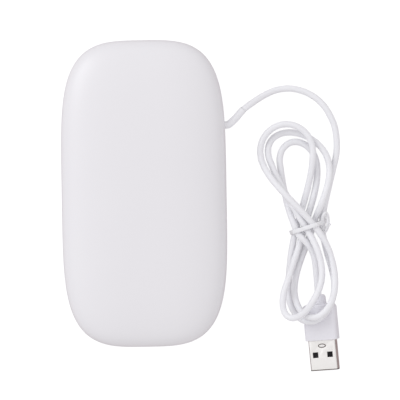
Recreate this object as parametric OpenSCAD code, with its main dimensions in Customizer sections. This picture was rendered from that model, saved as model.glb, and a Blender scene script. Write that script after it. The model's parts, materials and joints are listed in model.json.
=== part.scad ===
// Mini nail lamp with folding legs and a captive USB lead, in millimetres.
// Origin: centre of the case's footprint, on the surface that the feet stand on.
// +Z is up, +Y runs along the case towards the rear leg, +X points to the side the cord leaves.

/* [Case] */
// Length of the case
case_l = 132; // [128:1:150]
// Width of the case
case_w = 71; // [69:1:84]
// Height of the case above the table, feet included
case_h = 22; // [20:0.5:28]
// Height of the seam between bottom case and top cover
seam_z = 9.5; // [9.4:0.1:11]
// Wall thickness of both shells
wall = 1.8; // [1.4:0.1:2.2]
// How far the flat base is drawn in from the widest outline
base_inset = 4; // [3:0.2:4.4]
// Squareness of the outline across the width, 2 is an ellipse
outline_x = 3.5; // [3:0.1:5]
// Squareness of the outline along the length
outline_y = 4.35; // [3.8:0.05:6]
// Squareness of the crown's profile
crown_n = 2.8; // [2.3:0.1:3.4]
// Squareness of the bottom edge's profile
edge_n = 2.2; // [2:0.1:3]
// Height of the locating lip above the seam
lip_h = 1.2; // [0.8:0.1:1.8]

/* [Feet and screws] */
// Height of the rubber feet
foot_h = 0.8; // [0.6:0.1:1.2]
// Radius of the rubber feet
foot_r = 3.2; // [2.6:0.1:3.4]
// Case screws, distance from the case's long side
screw_side = 20.5; // [20:0.1:21.5]
// Case screws, distance from the case's end
screw_end = 13; // [12.6:0.1:13.4]
// Shaft radius of the case screws
screw_r = 1; // [0.8:0.05:1.1]
// Length of the case screws' shafts
screw_l = 12; // [10:0.5:14]
// Head radius of the case screws
screw_head_r = 1.9; // [1.6:0.1:2]
// Head height of the case screws
screw_head_h = 1.3; // [1:0.1:1.4]

/* [Legs] */
// Distance from the case's side to a leg's outer face
leg_side = 11; // [10.6:0.1:11.6]
// Distance from the case's end to the hinge pins
leg_end = 16; // [15.4:0.1:17]
// Distance from the case's middle to a leg's crossbar
crossbar_y = 9.5; // [9.2:0.1:11]
// Width of a leg's arm
arm_w = 4.8; // [3.8:0.1:5]
// Width of a leg's crossbar
crossbar_w = 5; // [4:0.1:5.4]
// Thickness of a leg
leg_t = 4.6; // [4:0.1:4.8]
// How far a folded leg lies inside the base
leg_recess = 0.2; // [0.1:0.05:0.3]
// Gap round a folded leg
leg_gap = 0.3; // [0.2:0.05:0.4]
// Radius of the hinge pins
pin_r = 1.6; // [1.3:0.05:1.7]
// Length of the hinge pins
pin_l = 2.4; // [1.8:0.1:2.8]
// Thickness of the rubber pad on a leg
leg_pad_t = 0.8; // [0.5:0.1:1]
// How far the pad stays inside the leg's top and bottom face
leg_pad_margin = 1; // [0.6:0.1:1.4]
// Distance from the leg's outer face to the pad's end
leg_pad_end = 10; // [8:0.5:14]

/* [Light] */
// Distance from a leg's crossbar to the light window
window_gap = 3.7; // [3.4:0.1:4.4]
// Distance from a leg's arm to the light window
window_side = 3.5; // [3.3:0.1:4.4]
// Distance from the hinge line to the light window
window_end = 3; // [2.8:0.1:4]
// Thickness of the reflectors
reflector_t = 0.6; // [0.5:0.05:0.8]
// Slope of the reflector's wall, inwards from mouth to floor
reflector_draft = 2.6; // [1.6:0.1:3.2]
// Distance of the paired diodes from the centre line
led_x = 8.5; // [7:0.1:9]
// Distance of the paired diodes from the window's inner edge
led_near = 8.3; // [7.6:0.1:9]
// Distance of the single diode from the window's outer edge
led_far = 8.5; // [7.6:0.1:9]
// Side of a diode's body
led_size = 5; // [4:0.1:5.2]
// Height of a diode's body
led_body_h = 1.6; // [1.2:0.1:1.8]
// Radius of a diode's lens
lens_r = 2.1; // [1.6:0.1:2.3]
// Thickness of the circuit board
board_t = 1.6; // [1.2:0.1:1.8]

/* [Button] */
// Radius of the button's cap
button_r = 4.5; // [3.5:0.1:4.6]
// Travel of the button
button_travel = 0.4; // [0.2:0.05:0.4]
// How far the button stands proud of the base
button_proud = 0.45; // [0.4:0.01:0.5]
// Radius of the button's flange
flange_r = 6; // [5.6:0.1:6.3]
// Side of the switch housing
switch_size = 6; // [5:0.1:6.6]

/* [Cord] */
// Diameter of the cord
cord_d = 2.8; // [2.4:0.1:2.8]
// Distance of the cord's exit from the case's middle
exit_y = 29; // [28:0.5:31]
// Radius of the strain relief
relief_r = 1.6; // [1.5:0.05:1.8]
// Height of the hank's waist columns, up-going strands
waist_z = 1.9; // [1.9:0.1:2]

/* [Plug] */
// Width of the plug's shell
shell_w = 12; // [11.6:0.1:12.4]
// Thickness of the plug's shell
shell_t = 4.5; // [4.2:0.1:4.8]
// Length of the plug's shell
shell_l = 13.1; // [11.5:0.1:14]
// Width of the plug's overmould
grip_w = 14.2; // [13.6:0.1:14.2]
// Thickness of the plug's overmould
grip_t = 7.2; // [6.6:0.1:7.2]
// Length of the plug's overmould
grip_l = 15.6; // [14:0.1:15.6]

/* [Hidden] */

// Smooth circles everywhere
$fn = 48;
// Points round the case's outline
outline_points = 96;
// Rings up the crown and up the bottom edge
crown_rings = 12;
edge_rings = 7;
// Cutters run this far past a face
past = 1;
// Play between pieces that only touch
play = 0.3;

half_w = case_w / 2;
half_l = case_l / 2;
crown_h = case_h - seam_z;
edge_h = seam_z - foot_h;
base_t = 2;
base_top = foot_h + base_t;
tub_wall = wall + 1.2;
lip_play = 0.2;

screw_x = half_w - screw_side;
screw_y = half_l - screw_end;
post_r = 3.5;
boss_r = 3;
screw_seat = foot_h + screw_head_h + 0.5;
screw_bite = 0.05;

leg_x = half_w - leg_side;
hinge_y = half_l - leg_end;
leg_z = foot_h + leg_recess;
hinge_z = leg_z + leg_t / 2;
pin_play = 0.05;
pin_end_play = 0.3;
channel_wall = 1.3;
channel_x = leg_x + leg_gap;
channel_in = leg_x - arm_w - leg_gap;
channel_y = crossbar_y - leg_pad_t - leg_gap;
crossbar_end = crossbar_y + crossbar_w;
channel_end = hinge_y + 3;
channel_top = leg_z + leg_t + leg_gap;
pocket_top = channel_top + channel_wall;
leg_corner_r = 4;

window_x = leg_x - arm_w - window_side;
window_y = crossbar_end + window_gap;
window_y2 = hinge_y - window_end;
board_z = pocket_top + 1;
board_top = board_z + board_t;
board_side = leg_x - 4.5;
board_end = window_y2 + 1.5;
tongue_x = 10;
tongue_end = window_y2 + 8;
board_screw_x = 14;
board_screw_y = window_y2 + 4.5;
board_post_r = 2.4;
board_screw_r = 0.8;
board_screw_l = 4.5;

LED_SPOTS = [[-led_x, window_y + led_near], [led_x, window_y + led_near], [0, window_y2 - led_far]];

// Parts on the board: places for the positive y side, and bodies as width, length and height
chip_x = 7;
chip_y = 9;
chip_size = [3.9, 4.9, 1.6];
transistor_x = 6;
transistor_size = [1.6, 2.9, 1.1];
resistor_gap = 2;
resistor_size = [1.6, 3.2, 0.6];
can_base = [5.2, 5.2, 0.9];
can_r = 2.5;
can_h = 4.5;

relief_flange_r = 3;
relief_flange_t = 1.2;
cord_r = cord_d / 2;

function unit(v) = v / norm(v);
function signed_power(v, e) = sign(v) * pow(abs(v), e);
function blend(a, b, t) = a + (b - a) * (1 - cos(180 * min(max(t, 0), 1))) / 2;
function last(v) = v[len(v) - 1];

// Outline of the case at half width w and half length l
function outline(w, l) = [for (i = [0:outline_points - 1])
    let (a = 360 * i / outline_points)
    [w * signed_power(cos(a), 2 / outline_x), l * signed_power(sin(a), 2 / outline_y)]];

// Half length of the crown where its half width has shrunk from w to s * w
function crown_length(w, l, s) = l - w * (1 - s) * (1 + (l / w - 1) * (1 - s));

// Solid between stacked rings, closed by a flat face below and by a flat face or a peak above
module stack(rings, peak) {
    n = outline_points;
    k = len(rings);
    points = [for (r = rings) each r];
    side = [for (j = [0:k - 2]) for (i = [0:n - 1])
        let (a = j * n + i, b = j * n + (i + 1) % n)
        each [[a, b + n, b], [a, a + n, b + n]]];
    bottom = [[for (i = [0:n - 1]) i]];
    top = is_undef(peak)
        ? [[for (i = [n - 1:-1:0]) (k - 1) * n + i]]
        : [for (i = [0:n - 1]) [(k - 1) * n + i, k * n, (k - 1) * n + (i + 1) % n]];
    polyhedron(is_undef(peak) ? points : concat(points, [peak]), concat(side, bottom, top));
}

// Crown of the top cover, drawn in by inset, with a straight skirt of depth drop below the seam
module crown(inset, drop) {
    w = half_w - inset;
    l = half_l - inset;
    h = crown_h - inset;
    e = 2 / crown_n;
    skirt = drop > 0 ? [[for (p = outline(w, l)) [p.x, p.y, seam_z - drop]]] : [];
    rings = [for (j = [0:crown_rings - 1])
        let (a = 90 * j / crown_rings, s = pow(cos(a), e), z = seam_z + h * pow(sin(a), e))
        [for (p = outline(w * s, crown_length(w, l, s))) [p.x, p.y, z]]];
    stack(concat(skirt, rings), [0, 0, seam_z + h]);
}

// Outside of the bottom case, from the flat base up to the seam
module tub() {
    rings = [for (j = [0:edge_rings])
        let (a = 90 * (1 - j / edge_rings),
            drop = pow(sin(a), 2 / edge_n),
            inset = base_inset * (1 - pow(max(cos(a), 0), 2 / edge_n)))
        [for (p = outline(half_w - inset, half_l - inset)) [p.x, p.y, seam_z - edge_h * drop]]];
    stack(rings, undef);
}

module slab(w, l, z, h) {
    translate([0, 0, z])
        linear_extrude(h)
            polygon(outline(w, l));
}

// Box from corner a to corner b
module block(a, b) {
    translate(a)
        cube(b - a);
}

// Copies of the children at the four mirrored corners, at both sides or at both ends
module four() {
    for (sx = [-1, 1])
        for (sy = [-1, 1])
            mirrored(sx, sy)
                children();
}

module two_ends() {
    for (sy = [-1, 1])
        mirrored(1, sy)
            children();
}

module mirrored(sx, sy) {
    mirror([sx < 0 ? 1 : 0, 0, 0])
        mirror([0, sy < 0 ? 1 : 0, 0])
            children();
}

// Room for the neck of the strain relief, half in each shell
module relief_hole() {
    translate([half_w - tub_wall - past, exit_y, seam_z])
        rotate([0, 90, 0])
            cylinder(r = relief_r + lip_play, h = tub_wall + 2 * past);
}

module top_cover() {
    color("white")
        difference() {
            crown(0, 0);
            difference() {
                crown(wall, past);
                four()
                    translate([screw_x, screw_y, seam_z - past])
                        cylinder(r = boss_r, h = crown_h);
            }
            four()
                translate([screw_x, screw_y, seam_z - past])
                    cylinder(r = screw_r - screw_bite, h = screw_seat + screw_l - seam_z + past + 0.6);
            relief_hole();
        }
}

// Material that stays in the bottom case's hollow: pockets for the legs, posts and hinge bosses
module inner_ribs() {
    two_ends() {
        block([-channel_x - channel_wall, channel_y - channel_wall, 0],
            [channel_x + channel_wall, crossbar_end + leg_gap + channel_wall, pocket_top]);
        for (sx = [-1, 1])
            mirrored(sx, 1) {
                block([channel_in - channel_wall, channel_y, 0],
                    [channel_x + channel_wall, channel_end + channel_wall, pocket_top]);
                block([channel_x, hinge_y - pin_r - 2, 0],
                    [channel_x + pin_l + pin_end_play + 1.4, hinge_y + pin_r + 2, pocket_top]);
            }
        translate([0, board_screw_y, 0])
            cylinder(r = board_post_r, h = board_z);
    }
    for (sx = [-1, 1])
        translate([sx * board_screw_x, 0, 0])
            cylinder(r = board_post_r, h = board_z);
    four()
        translate([screw_x, screw_y, 0])
            cylinder(r = post_r, h = seam_z);
}

// Everything that is cut out of the bottom case from below
module base_cuts() {
    z0 = foot_h - past;
    two_ends() {
        block([-channel_x, channel_y, z0], [channel_x, crossbar_end + leg_gap, channel_top]);
        block([-window_x, window_y, z0], [window_x, window_y2, base_top + past]);
        block([-6, crossbar_end, z0], [6, crossbar_end + leg_gap + 2, base_top - 0.6]);
        for (sx = [-1, 1])
            mirrored(sx, 1) {
                block([channel_in, channel_y, z0], [channel_x, channel_end, channel_top]);
                translate([leg_x, hinge_y, hinge_z])
                    rotate([0, 90, 0])
                        cylinder(r = pin_r + pin_play, h = pin_l + pin_end_play);
            }
        translate([0, board_screw_y, base_top + 0.7])
            cylinder(r = board_screw_r - screw_bite, h = board_z);
    }
    for (sx = [-1, 1])
        translate([sx * board_screw_x, 0, base_top + 0.7])
            cylinder(r = board_screw_r - screw_bite, h = board_z);
    four() {
        translate([screw_x, screw_y, z0])
            cylinder(r = screw_head_r + lip_play, h = screw_seat - z0);
        translate([screw_x, screw_y, z0])
            cylinder(r = screw_r + lip_play, h = seam_z + past);
    }
    translate([0, 0, z0])
        cylinder(r = button_r + lip_play, h = base_t + 2 * past);
}

module bottom_case() {
    color("whitesmoke")
        difference() {
            union() {
                tub();
                slab(half_w - wall - lip_play, half_l - wall - lip_play, seam_z - past, lip_h + past);
            }
            difference() {
                slab(half_w - tub_wall, half_l - tub_wall, base_top, seam_z);
                inner_ribs();
            }
            base_cuts();
            relief_hole();
        }
}

module foot_pads() {
    color("gainsboro")
        four()
            translate([screw_x, screw_y, 0])
                cylinder(r = foot_r, h = foot_h);
}

module case_screws() {
    color("silver")
        four()
            translate([screw_x, screw_y, 0]) {
                translate([0, 0, screw_seat - screw_head_h])
                    difference() {
                        cylinder(r = screw_head_r, h = screw_head_h);
                        block([-1.1, -0.2, -past], [1.1, 0.2, 0.5]);
                        block([-0.2, -1.1, -past], [0.2, 1.1, 0.5]);
                    }
                translate([0, 0, screw_seat])
                    cylinder(r = screw_r, h = screw_l);
            }
}

// One leg, drawn for the rear end of the case
module leg() {
    translate([0, 0, leg_z])
        linear_extrude(leg_t) {
            x = leg_x - leg_corner_r;
            y = crossbar_y + leg_corner_r;
            translate([-x, crossbar_y])
                square([2 * x, crossbar_w]);
            for (sx = [-1, 1])
                mirror([sx < 0 ? 1 : 0, 0]) {
                    translate([leg_x - arm_w, y])
                        square([arm_w, hinge_y - y]);
                    intersection() {
                        translate([x, y])
                            circle(r = leg_corner_r);
                        translate([x, crossbar_y])
                            square([leg_corner_r, leg_corner_r]);
                    }
                }
        }
    for (sx = [-1, 1])
        mirrored(sx, 1) {
            translate([leg_x - arm_w, hinge_y, hinge_z])
                rotate([0, 90, 0])
                    cylinder(r = leg_t / 2, h = arm_w);
            translate([leg_x - past, hinge_y, hinge_z])
                rotate([0, 90, 0])
                    cylinder(r = pin_r, h = pin_l + past);
        }
}

// Rubber pad on the end face of the rear leg's crossbar
module leg_pad() {
    x = leg_x - leg_pad_end;
    block([-x, crossbar_y - leg_pad_t, leg_z + leg_pad_margin],
        [x, crossbar_y, leg_z + leg_t - leg_pad_margin]);
}

module leg_rear() {
    color("white")
        leg();
}

module leg_front() {
    color("white")
        mirror([0, 1, 0])
            leg();
}

module leg_pad_rear() {
    color("gainsboro")
        leg_pad();
}

module leg_pad_front() {
    color("gainsboro")
        mirror([0, 1, 0])
            leg_pad();
}

flange_t = 1;
flange_z = base_top + 0.05;
button_top = flange_z + flange_t;
switch_h = 3.5;
switch_z = board_z - switch_h;
plate_t = 0.3;
plunger_r = 1.6;
plunger_up = switch_z + 1.4;

module power_button() {
    z = foot_h - button_proud;
    color("lightgrey") {
        translate([0, 0, z])
            cylinder(r = button_r, h = flange_z - z);
        translate([0, 0, flange_z])
            cylinder(r = flange_r, h = flange_t);
    }
}

module switch_plunger() {
    color("dimgrey")
        translate([0, 0, button_top])
            cylinder(r = plunger_r, h = plunger_up - button_top);
}

module switch_housing() {
    s = switch_size / 2;
    color("black")
        difference() {
            block([-s, -s, switch_z], [s, s, board_z]);
            translate([0, 0, switch_z - past])
                cylinder(r = plunger_r + pin_play, h = plunger_up + button_travel + 0.2 - switch_z + past);
        }
}

module switch_plate() {
    s = switch_size / 2;
    color("silver")
        difference() {
            block([-s, -s, switch_z - plate_t], [s, s, switch_z]);
            translate([0, 0, switch_z - past])
                cylinder(r = plunger_r + pin_play, h = 2 * past);
        }
}

module led_board() {
    color("white")
        difference() {
            union() {
                block([-board_side, -board_end, board_z], [board_side, board_end, board_top]);
                block([-tongue_x, -tongue_end, board_z], [tongue_x, tongue_end, board_top]);
            }
            for (p = board_screw_spots())
                translate([p.x, p.y, board_z - past])
                    cylinder(r = board_screw_r + 0.15, h = board_t + 2 * past);
        }
}

function board_screw_spots() = [[-board_screw_x, 0], [board_screw_x, 0], [0, -board_screw_y], [0, board_screw_y]];

module board_screws() {
    head_h = 1.1;
    color("silver")
        for (p = board_screw_spots())
            translate([p.x, p.y, 0]) {
                translate([0, 0, board_top])
                    difference() {
                        cylinder(r = 1.6, h = head_h);
                        block([-1, -0.2, head_h - 0.5], [1, 0.2, head_h + past]);
                    }
                translate([0, 0, board_top - board_screw_l])
                    cylinder(r = board_screw_r, h = board_screw_l);
            }
}

// Reflector tray over the rear light window: a flange on the base and a dish up to the board
module reflector() {
    flange = 1.5;
    floor_z = board_z - reflector_t - 0.3;
    d = reflector_draft;
    difference() {
        union() {
            block([-window_x - flange, window_y - flange, base_top],
                [window_x + flange, window_y2 + flange, base_top + reflector_t]);
            hull() {
                block([-window_x, window_y, base_top], [window_x, window_y2, base_top + 0.1]);
                block([d - window_x, window_y + d, floor_z],
                    [window_x - d, window_y2 - d, floor_z + reflector_t]);
            }
        }
        hull() {
            t = reflector_t;
            block([t - window_x, window_y + t, base_top - past],
                [window_x - t, window_y2 - t, base_top + 0.1]);
            block([d + t - window_x, window_y + d + t, floor_z - 0.1],
                [window_x - d - t, window_y2 - d - t, floor_z]);
        }
        for (p = LED_SPOTS)
            translate([p.x, p.y, floor_z - past])
                cylinder(r = led_size * sqrt(2) / 2 + 0.3, h = reflector_t + 2 * past);
    }
}

module reflector_rear() {
    color("silver")
        reflector();
}

module reflector_front() {
    color("silver")
        mirror([0, 1, 0])
            reflector();
}

// Diodes 1 to 3 light the front window and 4 to 6 the rear one
function led_spot(i) = let (p = LED_SPOTS[(i - 1) % 3]) [p.x, i < 4 ? -p.y : p.y];

module led_body(i) {
    s = led_size / 2;
    p = led_spot(i);
    color("ivory")
        translate([p.x, p.y, board_z - led_body_h])
            linear_extrude(led_body_h)
                difference() {
                    square(2 * s, center = true);
                    translate([s, s])
                        circle(r = 0.7, $fn = 4);
                }
}

// Domed lens: a short cylinder with a spherical cap, below the diode's body
module led_lens(i) {
    p = led_spot(i);
    rim = 0.4;
    color("lavender")
        translate([p.x, p.y, board_z - led_body_h - rim]) {
            cylinder(r = lens_r, h = rim);
            intersection() {
                sphere(r = lens_r);
                translate([0, 0, -lens_r])
                    cylinder(r = lens_r + past, h = lens_r);
            }
        }
}

// Box that stands centred on the board's top at x, y
module on_board(x, y, size) {
    translate([x - size.x / 2, y - size.y / 2, board_top])
        cube(size);
}

// Surface-mounted body with flat leads along two sides
module chip(x, y, size, leads, pitch) {
    lift = 0.1;
    lead = [1, 0.4, 0.5];
    translate([x - size.x / 2, y - size.y / 2, board_top + lift])
        cube(size - [0, 0, lift]);
    for (sx = [-1, 1])
        for (i = [0:leads - 1])
            on_board(x + sx * (size.x / 2 + 0.4), y + (i - (leads - 1) / 2) * pitch, lead);
}

module timer_chip() {
    color("black")
        chip(-chip_x, chip_y, chip_size, 4, 1.27);
}

module driver_transistors() {
    color("black")
        for (sy = [-1, 1])
            chip(transistor_x, sy * chip_y, transistor_size, 2, 1.9);
}

// One resistor beside each diode, on the side that faces away from the board's edge
module led_resistors() {
    color("black")
        for (i = [1:6])
            let (p = led_spot(i), side = p.x > 0 ? -1 : 1)
                on_board(p.x + side * (led_size / 2 + resistor_gap), p.y, resistor_size);
}

module capacitor() {
    color("silver") {
        on_board(-chip_x, -chip_y, can_base);
        translate([-chip_x, -chip_y, board_top + can_base.z])
            cylinder(r = can_r, h = can_h);
    }
}

// Ring of points round p, square to dir
function ring(p, dir, r, sides) =
    let (side = unit(cross(dir, [0, 0, 1])), up = cross(side, dir))
    [for (i = [0:sides - 1]) let (a = 360 * i / sides) p + r * (cos(a) * side + sin(a) * up)];

// Direction of a path at its point i, with the given directions at its two ends
function path_dir(path, i, first, final) = i == 0 ? unit(first)
    : i == len(path) - 1 ? unit(final)
    : unit(unit(path[i + 1] - path[i]) + unit(path[i] - path[i - 1]));

// Tube swept along a path, square to first and final at its ends, with one radius per point
module sweep(path, radii, sides, first, final) {
    k = len(path);
    points = [for (i = [0:k - 1]) each ring(path[i], path_dir(path, i, first, final), radii[i], sides)];
    side = [for (j = [0:k - 2]) for (i = [0:sides - 1])
        let (a = j * sides + i, b = j * sides + (i + 1) % sides)
        each [[a, b, b + sides], [a, b + sides, a + sides]]];
    caps = [for (i = [1:sides - 2])
        each [[0, i + 1, i], [(k - 1) * sides, (k - 1) * sides + i, (k - 1) * sides + i + 1]]];
    polyhedron(points, concat(side, caps));
}

module cord_tube(path, r, sides, first, final) {
    sweep(path, [for (p = path) r], sides, first, final);
}

// Where the strain relief crosses the case's wall and ends inside it
wall_x = half_w * pow(1 - pow(exit_y / half_l, outline_y), 1 / outline_x);
flange_x = wall_x - tub_wall - relief_flange_t - play;

// Free lead: from the strain relief's end, down to the table and round to the hank's waist
LEAD = [[43.2, 35.4, 7.8], [45.4, 37.1, 7], [48.4, 39.2, 5.4], [51.4, 41.1, 3.8], [54.4, 42.7, 2.5],
    [57.4, 43.9, 1.7], [60.4, 44.5, 1.5], [64.6, 44.6, 1.5], [69.2, 43.5, 1.5], [73, 41.7, 1.5],
    [76.6, 39, 1.5], [80, 34.7, 1.5], [82.8, 28.6, 1.5], [83.8, 22.5, 1.5], [83.7, 16.5, 1.5],
    [82.5, 10.9, 1.5], [80.8, 4.4, 1.5], [79.2, -2, 1.5], [77.9, -7.5, 1.6], [77.1, -12.4, 1.9]];

// Sleeve of the strain relief, from its flange through the case's wall to the start of the lead
SLEEVE = [[flange_x + relief_flange_t / 2, exit_y, seam_z], [wall_x + 1.2, exit_y, seam_z], [38, 30, 9.4],
    [39.8, 31.6, 9.1], [41.2, 33.2, 8.6], [42.6, 34.8, 8], LEAD[0]];
SLEEVE_DIR = LEAD[1] - LEAD[0];

module strain_relief() {
    color("white") {
        translate([flange_x, exit_y, seam_z])
            rotate([0, 90, 0])
                cylinder(r = relief_flange_r, h = relief_flange_t);
        sweep(SLEEVE, [relief_r, relief_r, relief_r, relief_r - 0.05, relief_r - 0.1, relief_r, relief_r],
            16, [1, 0, 0], SLEEVE_DIR);
    }
}

// The cord inside the case, and its two cores up to the board
inner_end = flange_x - 3.5;

module inner_cord() {
    color("white")
        translate([inner_end, exit_y, seam_z])
            rotate([0, 90, 0])
                cylinder(r = cord_r, h = flange_x - inner_end);
}

module core_wire(dy) {
    r = 0.45;
    pad_x = board_side - 2;
    path = [[inner_end, exit_y + sign(dy) * 0.6, seam_z + 0.4], [inner_end - 2, exit_y + sign(dy) * 0.8, seam_z + 0.9],
        [pad_x + 3, exit_y + dy * 0.8, board_top + 1.5], [pad_x + 1, exit_y + dy, board_top + 1.2],
        [pad_x, exit_y + dy, board_top + 0.5], [pad_x - 2.5, exit_y + dy, board_top + 0.5]];
    cord_tube(path, r, 8, [-1, 0, 0], [-1, 0, 0]);
}

module wire_red() {
    color("red")
        core_wire(2);
}

module wire_black() {
    color("black")
        core_wire(-2);
}

module cord_lead() {
    path = concat(LEAD, [HANK[0]]);
    color("white")
        cord_tube(path, cord_r, 8, SLEEVE_DIR, [0, -1, 0]);
}

// The hank: three figure-eight loops through one waist. Each loop leaves the waist downwards,
// goes round the lower lobe, rises through the waist, goes round the upper lobe and comes back.
// The upper lobes go from the widest to the narrowest, so their left runs cross above the waist.
waist_y = -15.6;
// Where the strands cross the waist: going down (the lead first), and going up
DOWN_X = [77, 73.6, 69.4, 64.9];
UP_X = [65.8, 72.8, 69.3];
// Sideways shift per length of the strands at the waist
DOWN_SLOPE = [0, 0.77, 0.6, 0.38];
UP_SLOPE = [0.3, 0.3, 0.3];
DOWN_Z = [waist_z, waist_z + 5.7, waist_z + 4.5, waist_z + 3.9];
// Lobes, one row a loop: centre x, centre y, half width, reach, lean of the tip
LOWER = [[71.4, -42, 9.7, 14.4, -1], [72.7, -41.4, 8.4, 13, -1.2], [67.5, -41.5, 7.3, 12.8, -4.7]];
UPPER = [[61.8, 17, 11.4, 12, 0], [67, 14, 12.6, 11.6, -3.8], [67, 11.8, 8, 9.6, -1.2]];
// Heights along a lobe: middle of the run in, right side, tip, left side, middle of the run out
LOWER_Z = [[2.2, 12.6, 10.6, 1.7, 1.7], [7.2, 16.2, 14.6, 4.4, 1.7], [10.4, 13, 17.6, 9, 4.2]];
UPPER_Z = [[2, 5.8, 5.8, 4.8, 9.8], [6.4, 4, 1.5, 3.8, 5.8], [1.6, 1.5, 1.5, 1.5, 1.6]];
loops = len(UP_X);
// Rings on each of a loop's four straight runs and on each of its two round ends
run_rings = 3;
end_rings = 6;
// Where the middle height of a run lies, as a share of the run measured from the waist
mid_share = 0.42;

function hermite(a, b, da, db, t) = (2 * t ^ 3 - 3 * t ^ 2 + 1) * a + (t ^ 3 - 2 * t ^ 2 + t) * da
    + (3 * t ^ 2 - 2 * t ^ 3) * b + (t ^ 3 - t ^ 2) * db;

// Height on a run, t from 0 at the waist to 1 at the lobe's side
function run_z(waist, mid, side, t) = t < mid_share ? blend(waist, mid, t / mid_share)
    : blend(mid, side, (t - mid_share) / (1 - mid_share));

// Run between waist and lobe, on the right side (s = 1) or the left (s = -1), t from the waist
function run_point(lobe, up, s, x, slope, z, mid, side, t) =
    let (reach = abs(lobe.y - waist_y),
        tip = reach * unit([lobe[4], up * lobe[3]]),
        p = hermite([x, waist_y], [lobe.x + s * lobe.z, lobe.y], reach * [s * slope, up], tip, t))
    [p.x, p.y, run_z(z, mid, side, t)];

function lobe_points(lobe, zs, up, xa, sa, za, xb, sb, zb) = concat(
    [for (i = [0:run_rings - 1]) run_point(lobe, up, 1, xa, sa, za, zs[0], zs[1], i / run_rings)],
    [for (i = [0:end_rings - 1])
        let (a = 180 * i / end_rings, t = i / end_rings * 2)
        [lobe.x + lobe.z * cos(a) + lobe[4] * sin(a), lobe.y + up * lobe[3] * sin(a),
            t < 1 ? blend(zs[1], zs[2], t) : blend(zs[2], zs[3], t - 1)]],
    [for (i = [0:run_rings - 1]) run_point(lobe, up, -1, xb, sb, zb, zs[4], zs[3], 1 - i / run_rings)]);

OUT_DIR = unit([DOWN_SLOPE[loops], -1, 0]);
HANK_OUT = [DOWN_X[loops], waist_y, DOWN_Z[loops]];
LOOPS = [for (k = [0:loops - 1]) each concat(
    lobe_points(LOWER[k], LOWER_Z[k], -1, DOWN_X[k], DOWN_SLOPE[k], DOWN_Z[k], UP_X[k], UP_SLOPE[k], waist_z),
    lobe_points(UPPER[k], UPPER_Z[k], 1, UP_X[k], UP_SLOPE[k], waist_z, DOWN_X[k + 1], DOWN_SLOPE[k + 1],
        DOWN_Z[k + 1]))];
HANK = concat([LOOPS[0], LOOPS[0] + [0, -cord_d, 0]], [for (i = [1:len(LOOPS) - 1]) LOOPS[i]],
    [HANK_OUT, HANK_OUT + cord_d * OUT_DIR]);

// Points at even steps along a path, for measuring it
function fine(path, n) = [for (i = [0:len(path) - 2]) for (j = [0:n - 1])
    path[i] + (path[i + 1] - path[i]) * j / n];
FINE = fine(HANK, 4);
skip = 12;
hank_gap = min([for (i = [0:len(FINE) - skip - 1]) for (j = [i + skip:len(FINE) - 1])
    norm(FINE[i] - FINE[j])]) - cord_d;
function path_length(path) = norm_sum([for (i = [1:len(path) - 1]) norm(path[i] - path[i - 1])]);
function norm_sum(v, i = 0) = i == len(v) ? 0 : v[i] + norm_sum(v, i + 1);
echo("least gap of the hank to itself", hank_gap);
echo("length of lead, hank and tail", path_length(LEAD), path_length(HANK), path_length(TAIL));

module cord_hank() {
    color("white")
        cord_tube(HANK, cord_r, 6, [0, -1, 0], OUT_DIR);
}

// The plug lies on its lower left edge, turned a little and rolled so that its right side is up
plug_turn = 4.5;
plug_roll = 17;
grip_edge_r = 1.8;
plug_x = 76.1;
plug_y = -64.6;
plug_z = (grip_w / 2 - grip_edge_r) * sin(plug_roll) + (grip_t / 2 - grip_edge_r) * cos(plug_roll)
    + grip_edge_r;
nub_l = 4.8;
nub_r = 3.4;
nub_end_r = 2.8;
PLUG_DIR = [sin(plug_turn), -cos(plug_turn), 0];
TAIL_END = [plug_x, plug_y, plug_z] - (grip_l + nub_l) * PLUG_DIR;
TAIL = [last(HANK), [68, -20.6, 6.5], [70.4, -23.2, 6.3], [72.4, -26.6, 5.5], [73.4, -30.4, 5.1],
    [73.8, -34.6, 5], TAIL_END - cord_d * PLUG_DIR, TAIL_END];

module cord_tail() {
    color("white")
        cord_tube(TAIL, cord_r, 8, OUT_DIR, PLUG_DIR);
}

// Plug's own axes: X across, Y back towards the cord, Z up, origin where shell and overmould meet
module plug_place() {
    translate([plug_x, plug_y, plug_z])
        rotate([0, 0, plug_turn])
            rotate([0, -plug_roll, 0])
                children();
}

module plug_overmould() {
    r = grip_edge_r;
    color("lavender")
        plug_place() {
            hull()
                for (sx = [-1, 1])
                    for (sz = [-1, 1])
                        translate([sx * (grip_w / 2 - r), 0, sz * (grip_t / 2 - r)]) {
                            rotate([-90, 0, 0])
                                cylinder(r = r, h = 1, $fn = 24);
                            translate([0, grip_l - r, 0])
                                sphere(r = r, $fn = 24);
                        }
            translate([0, grip_l - r, 0])
                rotate([-90, 0, 0])
                    cylinder(r1 = nub_r, r2 = nub_end_r, h = nub_l + r);
        }
}

// Rectangle with rounded corners, centred
module rounded(w, h, r) {
    square([w - 2 * r, h], center = true);
    square([w, h - 2 * r], center = true);
    for (sx = [-1, 1])
        for (sy = [-1, 1])
            translate([sx * (w / 2 - r), sy * (h / 2 - r)])
                circle(r = r);
}

shell_wall = 0.3;
// Slack between the insulator and the inside of the shell
insulator_play = 0.05;

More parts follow.
